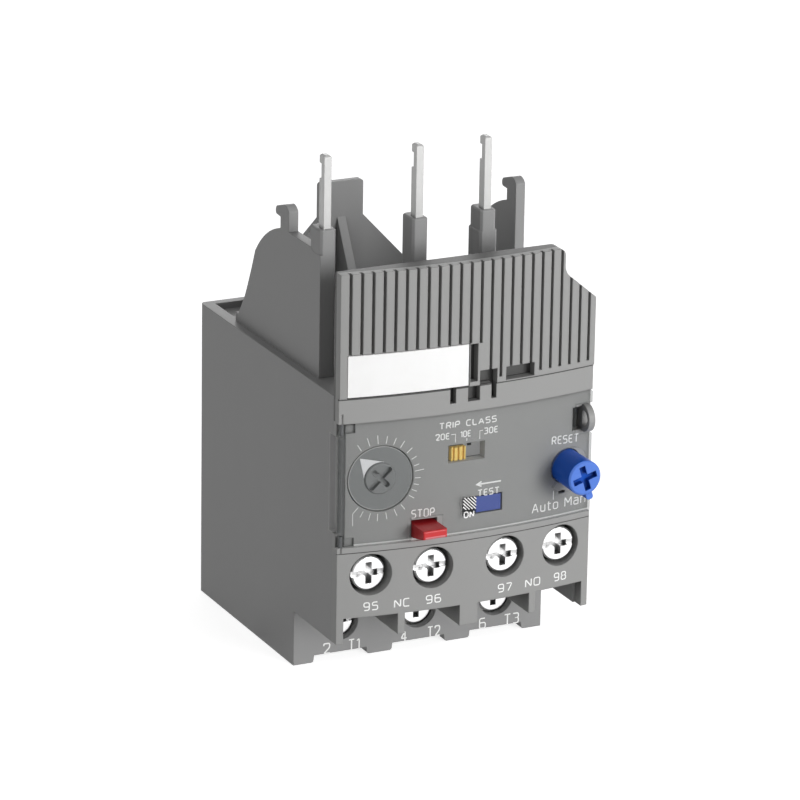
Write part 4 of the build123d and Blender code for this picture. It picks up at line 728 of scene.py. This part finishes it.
# %% Clear plastic
BEAD_EDGE = -21.55 * MM
BEAD_HALF = 8.1 * MM
FREE_EDGE = 22.2 * MM
HAZE = 1.1 * MM
HAZE_DEPTH = 0.004 * MM
SCRATCH = 0.35 * MM
SCRATCH_STRETCH = (0.2, 1, 1)
COVER_ROUGHNESS = 0.2
SCRATCH_ROUGHNESS = 0.12
COVER_ROUND = 0.15 * MM
CLEAR_TINT = (0.99, 0.992, 0.992, 1.0)
GLOSS_IOR = 1.46
HAZE_SHARE = 0.03
GRAZING_SHARE = 0.3
BEAD_SHARE = 0.6
FREE_EDGE_SHARE = 0.12

cover = Finish("cover_clear", srgb(132, 135, 134), 0.22)
cover_place = cover.place()
haze = cover.noise(cover_place, HAZE, detail=4.0)
scratch = cover.noise(cover.place(stretch=SCRATCH_STRETCH), SCRATCH)
cover_x, _, cover_z = cover.axes(cover_place)
bead = cover_x.below(BEAD_EDGE) * abs(cover_z - HINGE_MIDDLE).below(BEAD_HALF)
film = cover.mix(haze, srgb(124, 127, 126), srgb(140, 143, 142))
# The darker grey on the bead is painted shade.
cover.feed("Base Color", cover.mix(bead, film, srgb(92, 94, 94)))
cover.feed("Roughness", COVER_ROUGHNESS + scratch * SCRATCH_ROUGHNESS)
cover.bump(haze, HAZE_DEPTH, COVER_ROUND)

# %% [markdown]
# The Mix Shader takes the place of the Principled shader at the output. Its factor is the
# share of the gloss, a sum of a little haze, the grazing view, the bead and the free edge.

# %% Clear and glossy shares
clear = cover.node("ShaderNodeBsdfTransparent", inputs={"Color": CLEAR_TINT})
grazing = cover.node("ShaderNodeFresnel", inputs={"IOR": GLOSS_IOR})
free_edge = cover_x.above(FREE_EDGE)
share = (HAZE_SHARE + haze * HAZE_SHARE + grazing * GRAZING_SHARE + bead * BEAD_SHARE
         + free_edge * FREE_EDGE_SHARE)
gloss = Value(cover, cover.shader.outputs[0])
mixed = cover.node("ShaderNodeMixShader", inputs={0: share, 1: clear, 2: gloss})
cover.link(mixed, cover.tree.nodes["Material Output"].inputs["Surface"])
dress("cover_clear", cover)

# %% [markdown]
# ## Printing
# All lettering on the relay is pad printed in white, in the single stroke face of drawing
# machines: a pen of one width and corners turned with a small radius. No ready font has that
# look, so each letter is its width and a few paths on a grid one unit high.

# %% Letters
LETTERS = {
    "0": (0.55, [[(0, 0), (0, 1), (0.55, 1), (0.55, 0), (0, 0)]]),
    "1": (0.25, [[(0, 0.8), (0.25, 1), (0.25, 0)]]),
    "2": (0.55, [[(0, 0.78), (0, 1), (0.55, 1), (0.55, 0.56), (0, 0), (0.58, 0)]]),
    "3": (0.55, [[(0, 1), (0.55, 1), (0.55, 0.53), (0.18, 0.53)],
                 [(0.18, 0.53), (0.55, 0.53), (0.55, 0), (0, 0)]]),
    "4": (0.6, [[(0.42, 0), (0.42, 1), (0, 0.27), (0.6, 0.27)]]),
    "5": (0.55, [[(0.52, 1), (0.03, 1), (0, 0.58), (0.55, 0.58), (0.55, 0), (0, 0)]]),
    "6": (0.55, [[(0.5, 1), (0, 1), (0, 0), (0.55, 0), (0.55, 0.56), (0, 0.56)]]),
    "7": (0.55, [[(0, 1), (0.58, 1), (0.18, 0)]]),
    "8": (0.55, [[(0, 0), (0, 0.53), (0.55, 0.53), (0.55, 0), (0, 0)],
                 [(0.03, 0.53), (0.03, 1), (0.52, 1), (0.52, 0.53), (0.03, 0.53)]]),
    "9": (0.55, [[(0.05, 0), (0.55, 0), (0.55, 1), (0, 1), (0, 0.44), (0.55, 0.44)]]),
    "A": (0.66, [[(0, 0), (0.33, 1), (0.66, 0)], [(0.12, 0.32), (0.54, 0.32)]]),
    "C": (0.55, [[(0.55, 1), (0, 1), (0, 0), (0.55, 0)]]),
    "E": (0.5, [[(0.5, 1), (0, 1), (0, 0), (0.5, 0)], [(0, 0.52), (0.42, 0.52)]]),
    "I": (0.0, [[(0, 0), (0, 1)]]),
    "L": (0.5, [[(0, 1), (0, 0), (0.5, 0)]]),
    "M": (0.7, [[(0, 0), (0, 1), (0.35, 0.3), (0.7, 1), (0.7, 0)]]),
    "N": (0.58, [[(0, 0), (0, 1), (0.58, 0), (0.58, 1)]]),
    "O": (0.6, [[(0, 0), (0, 1), (0.6, 1), (0.6, 0), (0, 0)]]),
    "P": (0.55, [[(0, 0), (0, 1), (0.55, 1), (0.55, 0.45), (0, 0.45)]]),
    "R": (0.56, [[(0, 0), (0, 1), (0.55, 1), (0.55, 0.46), (0, 0.46)],
                 [(0.28, 0.46), (0.56, 0)]]),
    "S": (0.55, [[(0.55, 1), (0, 1), (0, 0.53), (0.55, 0.53), (0.55, 0), (0, 0)]]),
    "T": (0.6, [[(0, 1), (0.6, 1)], [(0.3, 1), (0.3, 0)]]),
    "a": (0.48, [[(0.04, 0.68), (0.48, 0.68), (0.48, 0)],
                 [(0.48, 0.4), (0, 0.4), (0, 0), (0.48, 0)]]),
    "n": (0.48, [[(0, 0), (0, 0.7)], [(0, 0.6), (0.02, 0.68), (0.48, 0.68), (0.48, 0)]]),
    "o": (0.5, [[(0, 0), (0, 0.68), (0.5, 0.68), (0.5, 0), (0, 0)]]),
    "t": (0.38, [[(0.12, 0.92), (0.12, 0), (0.38, 0)], [(0, 0.68), (0.36, 0.68)]]),
    "u": (0.48, [[(0, 0.68), (0, 0), (0.48, 0)], [(0.48, 0.68), (0.48, 0)]]),
    " ": (0.35, []),
}
LETTER_GAP = 0.3
print("letters", len(LETTERS))

# %% [markdown]
# ## From paths to print
# A path becomes an edge line, the line a curve, the curve a round tube by its bevel, and the
# tube is pressed flat on the front. Only the paths are typed in, the rest is what one does by
# hand. Paths are in millimetres, as x and z on the front, and the depth says how far behind
# the curved front the ink lies. Print on the sunk face of the main terminals lies flat.

# %% Printing a path
INK = 0.03 * MM
INK_PROUD = 0.3
FRONT = 0.0
FIELD = 0.6 * MM
COVER_FACE = -0.3 * MM
SUNK_FACE = 15.94 * MM - BODY_DEPTH
ink = moulded("print_white", srgb(250, 250, 249), 0.55, tone=0.01, edge=None, shade_keep=0.95)


def only(piece):
    """Selects one object and makes it the active one."""
    bpy.ops.object.select_all(action="DESELECT")
    piece.select_set(True)
    bpy.context.view_layer.objects.active = piece


def print_paths(name, paths, width, depth, body="relay_body", sunk=False):
    """Prints paths with a pen of one width at a depth behind the front."""
    points, edges = [], []
    for path in paths:
        first = len(points)
        ring = path[0] == path[-1]
        points += [(x * MM, 0.0, z * MM) for x, z in (path[:-1] if ring else path)]
        edges += [(i, i + 1) for i in range(first, len(points) - 1)]
        if ring:
            edges.append((len(points) - 1, first))
    mesh = bpy.data.meshes.new(name)
    mesh.from_pydata(points, edges, [])
    piece = bpy.data.objects.new(name, mesh)
    bpy.context.collection.objects.link(piece)
    only(piece)
    bpy.ops.object.convert(target="CURVE")
    piece.data.bevel_depth = width * MM / 2
    piece.data.bevel_resolution = 1
    piece.data.use_fill_caps = True
    bpy.ops.object.convert(target="MESH")
    for vertex in piece.data.vertices:
        ground = SUNK_FACE if sunk else front_y(vertex.co.x) + depth
        vertex.co.y = ground + INK * (vertex.co.y / (width * MM) - INK_PROUD)
    bpy.ops.object.mode_set(mode="EDIT")
    bpy.ops.mesh.select_all(action="SELECT")
    bpy.ops.mesh.normals_make_consistent(inside=False)
    bpy.ops.object.mode_set(mode="OBJECT")
    piece.data.materials.append(ink.material)
    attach(piece, body)


# %% [markdown]
# ## Words
# A word sets its letters side by side and stretches them to the place that was measured for
# it. Each corner of a letter is then turned by a short curve between two points on its arms.

# %% Printing a word
PEN = 0.22
FINE_PEN = 0.21
BOLD_PEN = 0.25
CORNER = 0.32
CORNER_STEPS = 4
ARM_SHARE = 0.45


def rounded(path):
    """The path with each corner turned by a short curve."""
    closed = path[0] == path[-1]
    points = [Vector(p) for p in (path[:-1] if closed else path)]
    count = len(points)
    smooth = []
    for index, corner in enumerate(points):
        if not closed and index in (0, count - 1):
            smooth.append(corner)
            continue
        before, after = points[index - 1] - corner, points[(index + 1) % count] - corner
        cut = min(CORNER, ARM_SHARE * before.length, ARM_SHARE * after.length)
        start, end = corner + before.normalized() * cut, corner + after.normalized() * cut
        for step in range(CORNER_STEPS + 1):
            t = step / CORNER_STEPS
            smooth.append(start * (1 - t) ** 2 + corner * 2 * t * (1 - t) + end * t ** 2)
    return smooth + smooth[:1] if closed else smooth


def word(text, x_span, z_span, width=PEN, depth=FRONT, body="relay_body", sunk=False,
         fall=0.0):
    """Prints one word whose letters fill a stretch of the front."""
    advance, letters = 0.0, []
    for letter in text:
        letter_width, strokes = LETTERS[letter]
        letters += [[(advance + x, z) for x, z in stroke] for stroke in strokes]
        advance += letter_width + LETTER_GAP
    wide = advance - LETTER_GAP
    x_low, x_high = x_span[0] + width / 2, x_span[1] - width / 2
    z_low, z_high = z_span[0] + width / 2, z_span[1] - width / 2
    paths = [rounded([(x_low + x / wide * (x_high - x_low),
                       z_low + z * (z_high - z_low) - fall * x / wide)
                      for x, z in stroke]) for stroke in letters]
    name = "print_" + "".join(c if c.isalnum() else "_" for c in text)
    print_paths(name, paths, width, depth, body, sunk)


# %% [markdown]
# ## Terminal marks
# The control terminals carry the numbers of the auxiliary contacts with the kind of contact
# between them, and the main terminals their outgoing marks, printed on the sunk face below.

# %% Terminal marks
CONTROL_MARKS = (("95", (-18.1, -15.6)), ("NC", (-13.0, -10.3)), ("96", (-7.6, -4.9)),
                 ("97", (5.2, 7.9)), ("NO", (10.3, 13.2)), ("98", (15.8, 18.25)))
CONTROL_SPAN = (14.7, 16.2)
MAIN_MARKS = (("2", (-17.2, -15.9)), ("T1", (-12.7, -10.6)), ("4", (-3.25, -2.0)),
              ("T2", (1.6, 4.0)), ("6", (11.1, 12.4)), ("T3", (15.7, 18.5)))
MAIN_SPAN = (1.1, 3.05)

for text, x_span in CONTROL_MARKS:
    word(text, x_span, CONTROL_SPAN)
for text, x_span in MAIN_MARKS:
    word(text, x_span, MAIN_SPAN, BOLD_PEN, sunk=True)
print("terminal marks", len(CONTROL_MARKS) + len(MAIN_MARKS))

# %% [markdown]
# ## Marks behind the cover
# The names of the settings are printed on the sunk field of the panel, behind the clear
# cover, with a finer pen. They were measured on the plane of the cover, so they are shifted
# as the camera sees the deeper field: a little to the right and down. RESET also falls a
# little along its length.

# %% Words on the field
FIELD_SHIFT = (0.44, -0.345)
FIELD_WORDS = (("TRIP CLASS", (-6.0, 4.2), (44.05, 45.2)),
               ("20E", (-6.6, -4.1), (42.25, 43.4)),
               ("10E", (-2.3, -0.35), (42.25, 43.4)),
               ("30E", (1.9, 4.5), (42.25, 43.4)),
               ("TEST", (1.0, 5.0), (31.85, 33.05)),
               ("STOP", (-10.5, -6.45), (29.65, 31.15)),
               ("RESET", (14.6, 19.9), (38.4, 39.85)),
               ("Auto", (11.1, 16.2), (27.3, 29.1)),
               ("Man", (17.4, 21.6), (27.3, 29.1)))
FALLS = {"RESET": 0.4}


def on_field(point):
    return (point[0] + FIELD_SHIFT[0], point[1] + FIELD_SHIFT[1])


for text, x_span, z_span in FIELD_WORDS:
    corners = [on_field(corner) for corner in zip(x_span, z_span)]
    word(text, *zip(*corners), FINE_PEN, FIELD, fall=FALLS.get(text, 0.0))
print("field words", len(FIELD_WORDS))

# %% [markdown]
# ## Leaders, arrow and tick
# Short leaders tie the class names to the places of the slider, an arrow shows which way the
# test slider goes, and a tick stands between the knob and Auto. They are shifted in the same
# way as the words.

# %% Leaders, arrow and tick
LEADERS = [[(-3.85, 43.0), (-3.1, 43.0), (-3.1, 41.6)], [(-1.1, 42.1), (-1.1, 41.6)],
           [(1.75, 43.0), (1.2, 43.0), (1.2, 41.6)]]
LEADER_PEN = 0.14
ARROW = [[(0.8, 33.95), (5.2, 33.95)], [(1.7, 34.35), (0.75, 33.95), (1.7, 33.55)]]
ARROW_PEN = 0.3
RESET_TICKS = [[(15.2, 29.0), (15.2, 30.5)]]

for name, paths, pen in (("print_leaders", LEADERS, LEADER_PEN),
                         ("print_test_arrow", ARROW, ARROW_PEN),
                         ("print_reset_ticks", RESET_TICKS, LEADER_PEN)):
    print_paths(name, [[on_field(point) for point in path] for path in paths], pen, FIELD)
    print(name, "paths", len(paths))

# %% [markdown]
# ## The setting scale
# Round the dial stand ticks at uneven steps, whose angles and lengths were measured in the
# photograph. Each tick is a short path between two radii at its own angle, and the last path
# leads from the scale down to the corner of the field.

# %% Scale of the dial
DIAL_MIDDLE = (-15.35, 36.63)
SCALE_INNER = 5.85
SCALE = ((122.4, 7.05), (107.5, 7.3), (94, 7.3), (81, 7.1), (68.5, 7.05), (56, 7.15),
         (41.3, 7.05), (27.5, 6.8), (15.5, 6.75), (6.5, 7.4), (-4.5, 6.8), (-14.5, 6.7),
         (-24, 6.75), (-34, 6.95), (-53, 7.0), (-66, 7.15), (-80, 7.0), (-93, 7.1),
         (-105, 7.05), (-117.5, 7.0))
SCALE_FOOT = [(-18.87, 32.13), (-19.78, 31.12), (-19.75, 29.1)]
SCALE_PEN = 0.13


def on_dial(angle, radius):
    turn = math.radians(angle)
    return (DIAL_MIDDLE[0] + radius * math.cos(turn),
            DIAL_MIDDLE[1] + radius * math.sin(turn))


ticks = [[on_dial(angle, SCALE_INNER), on_dial(angle, reach)] for angle, reach in SCALE]
print_paths("print_scale", ticks + [SCALE_FOOT], SCALE_PEN, FIELD)
print("scale ticks", len(ticks))

# %% [markdown]
# ## The hatched field and ON
# Left of the test slider a small square is hatched, with ON below it. Both are printed on the
# cover, because the window of the slider is open behind them. Each bar is a slanted path on
# which x and z have the same sum, and its two ends are worked out where it meets the outline.

# %% Hatched field
HATCH_X = (-1.5, 0.8)
HATCH_Z = (29.95, 32.0)
HATCH_STEP = 0.56
HATCH_PEN = 0.2
ON_SPANS = ((-1.4, 0.5), (28.53, 29.68))

bars = []
slant = HATCH_X[0] + HATCH_Z[0] + HATCH_STEP
while slant < HATCH_X[1] + HATCH_Z[1]:
    left, right = max(HATCH_X[0], slant - HATCH_Z[1]), min(HATCH_X[1], slant - HATCH_Z[0])
    bars.append([(left, slant - left), (right, slant - right)])
    slant += HATCH_STEP
print_paths("print_hatch", bars, HATCH_PEN, COVER_FACE, body="cover")
word("ON", *ON_SPANS, FINE_PEN, COVER_FACE, body="cover")
print("hatch bars", len(bars))

# %% [markdown]
# ## Springs
# Three buttons return by coil springs. A spring is a circle of wire that the Screw modifier
# carries round an axis while it climbs. When a button moves, its spring has to shorten, and
# the table names the joint and the travel of each.

# %% A coil
WIRE = 0.14 * MM
WIRE_SIDES = 10
COIL_STEPS = 24
COIL_MERGE = 1e-7
SMOOTH_ANGLE = math.radians(50)
COIL_TURN = {"X": (0, math.pi / 2, 0), "Y": (-math.pi / 2, 0, 0)}


def settle(piece):
    """Writes the object's place, turn and scale into its mesh."""
    only(piece)
    bpy.ops.object.transform_apply(location=True, rotation=True, scale=True)


def coil(radius, turns, length):
    """Winds wire round the z axis, upwards from the origin."""
    bpy.ops.mesh.primitive_circle_add(vertices=WIRE_SIDES, radius=WIRE,
                                      rotation=(math.pi / 2, 0, 0), location=(radius, 0, 0))
    piece = bpy.context.object
    settle(piece)
    screw = piece.modifiers.new("coil", "SCREW")
    screw.axis = "Z"
    screw.angle = 2 * math.pi
    screw.screw_offset = (length - 2 * WIRE) / turns
    screw.iterations = turns
    screw.steps = COIL_STEPS
    screw.render_steps = COIL_STEPS
    bpy.ops.object.modifier_apply(modifier=screw.name)
    return piece


def close_ends():
    """Merges the doubled rings of the active mesh, caps its ends and turns it outside out."""
    bpy.ops.object.mode_set(mode="EDIT")
    bpy.ops.mesh.select_all(action="SELECT")
    bpy.ops.mesh.remove_doubles(threshold=COIL_MERGE)
    bpy.ops.mesh.select_all(action="DESELECT")
    bpy.ops.mesh.select_non_manifold()
    bpy.ops.mesh.edge_face_add()
    bpy.ops.mesh.select_all(action="SELECT")
    bpy.ops.mesh.normals_make_consistent(inside=False)
    bpy.ops.object.mode_set(mode="OBJECT")
    bpy.ops.object.shade_smooth_by_angle(angle=SMOOTH_ANGLE)


# %% [markdown]
# Each spring fills the box of its plain CAD spring, takes its place and its slot, and the end
# that stays still is found along its axis.

# %% The three springs
def spring(name, node, radius, turns, axis, anchor_low):
    """A coil that fills the box of a CAD spring along one axis."""
    low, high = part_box(node)
    index = "XYZ".index(axis)
    length = high[index] - low[index]
    piece = coil(radius, turns, length)
    piece.rotation_euler = COIL_TURN[axis]
    start = (low + high) / 2
    start[index] = low[index] + WIRE
    piece.location = start
    settle(piece)
    close_ends()
    piece.name = name
    piece.data.materials.append(bpy.data.materials["spring_steel"])
    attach(piece, "relay_body")
    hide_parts(node)
    anchor = (low + high) / 2
    anchor[index] = low[index] if anchor_low else high[index]
    along = Vector((0, 0, 0))
    along[index] = 1.0
    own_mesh(piece)
    print(name, "length", round(length / MM, 2), "mm, faces", len(piece.data.polygons))


for name, node, radius, turns, axis, joint, travel, anchor_low in (
        ("coil_test", "test_spring", 0.6 * MM, 6, "X", "test_slide", 2.3 * MM, True),
        ("coil_stop", "stop_spring", 1.05 * MM, 5, "Y", "stop_press", 1.6 * MM, False),
        ("coil_reset", "reset_spring", 1.65 * MM, 4, "Y", "reset_press", 1.8 * MM, False)):
    spring(name, node, radius, turns, axis, anchor_low)

# %% [markdown]
# ## Floor
# A plain pale floor carries the relay and keeps its shadow. To the camera, to reflections and
# through the clear cover it glows white, so the picture has a white ground, while the other
# rays see paper.

# %% Floor
FLOOR_SIZE = 6.0
PAPER = (0.62, 0.62, 0.62)
PAPER_TONES = ((0.60, 0.60, 0.60), (0.64, 0.64, 0.64))
PAPER_BLOT = 0.05
FLOOR_GLOW = 0.8
WHITE = (1.0, 1.0, 1.0)


def direct_rays(graph):
    """One for rays from the camera, from a reflection or through a clear surface."""
    seen, mirrored, passed = [
        graph.node("ShaderNodeLightPath", output=name)
        for name in ("Is Camera Ray", "Is Glossy Ray", "Is Transmission Ray")]
    return seen.larger(mirrored).larger(passed)


bpy.ops.mesh.primitive_plane_add(size=FLOOR_SIZE, location=(0, 0, 0))
floor = bpy.context.object
floor.name = "floor"
paper = Finish("floor_white", PAPER, 0.9)
blots = paper.noise(paper.place(), PAPER_BLOT)
paper.feed("Base Color", paper.mix(blots, *PAPER_TONES))
paper.feed("Emission Color", paper.mix(direct_rays(paper), BLACK, WHITE))
paper.set("Emission Strength", FLOOR_GLOW)
floor.data.materials.append(paper.material)
print("floor size", FLOOR_SIZE)

# %% [markdown]
# ## World
# The camera and reflections see a white world, while the diffuse light from it is much
# dimmer and only fills the shadows.

# %% World
WORLD_FILL = 0.28

world = bpy.data.worlds.new("studio")
bpy.context.scene.world = world
world.use_nodes = True
studio = Graph(world.node_tree)
sky = studio.tree.nodes["Background"]
sky.inputs["Color"].default_value = (*WHITE, 1.0)
level = direct_rays(studio) * (1 - WORLD_FILL) + WORLD_FILL
studio.link(level, sky.inputs["Strength"])
print("world fill", WORLD_FILL)

# %% [markdown]
# ## Lamps
# A large soft lamp stands in front and to the right, so the left side falls into shade. A
# faint one from the left keeps that side readable, and a third stands behind for the rear
# faces. Each looks at the middle of the relay.

# %% Lamps
LAMP_AIM = Vector((0, -0.03, 0.045))

for name, azimuth, elevation, distance, size, power in (
        ("key_lamp", 24, 12, 0.9, 0.45, 5.9),
        ("fill_lamp", -40, 20, 1.0, 0.6, 0.25),
        ("rear_lamp", 160, 6, 1.0, 0.5, 3.0)):
    away = direction(azimuth, elevation)
    bpy.ops.object.light_add(type="AREA", location=LAMP_AIM + away * distance)
    light = bpy.context.object
    light.name = name
    look_back(light, away)
    light.data.size = size
    light.data.energy = power
    print(name, "power", power)
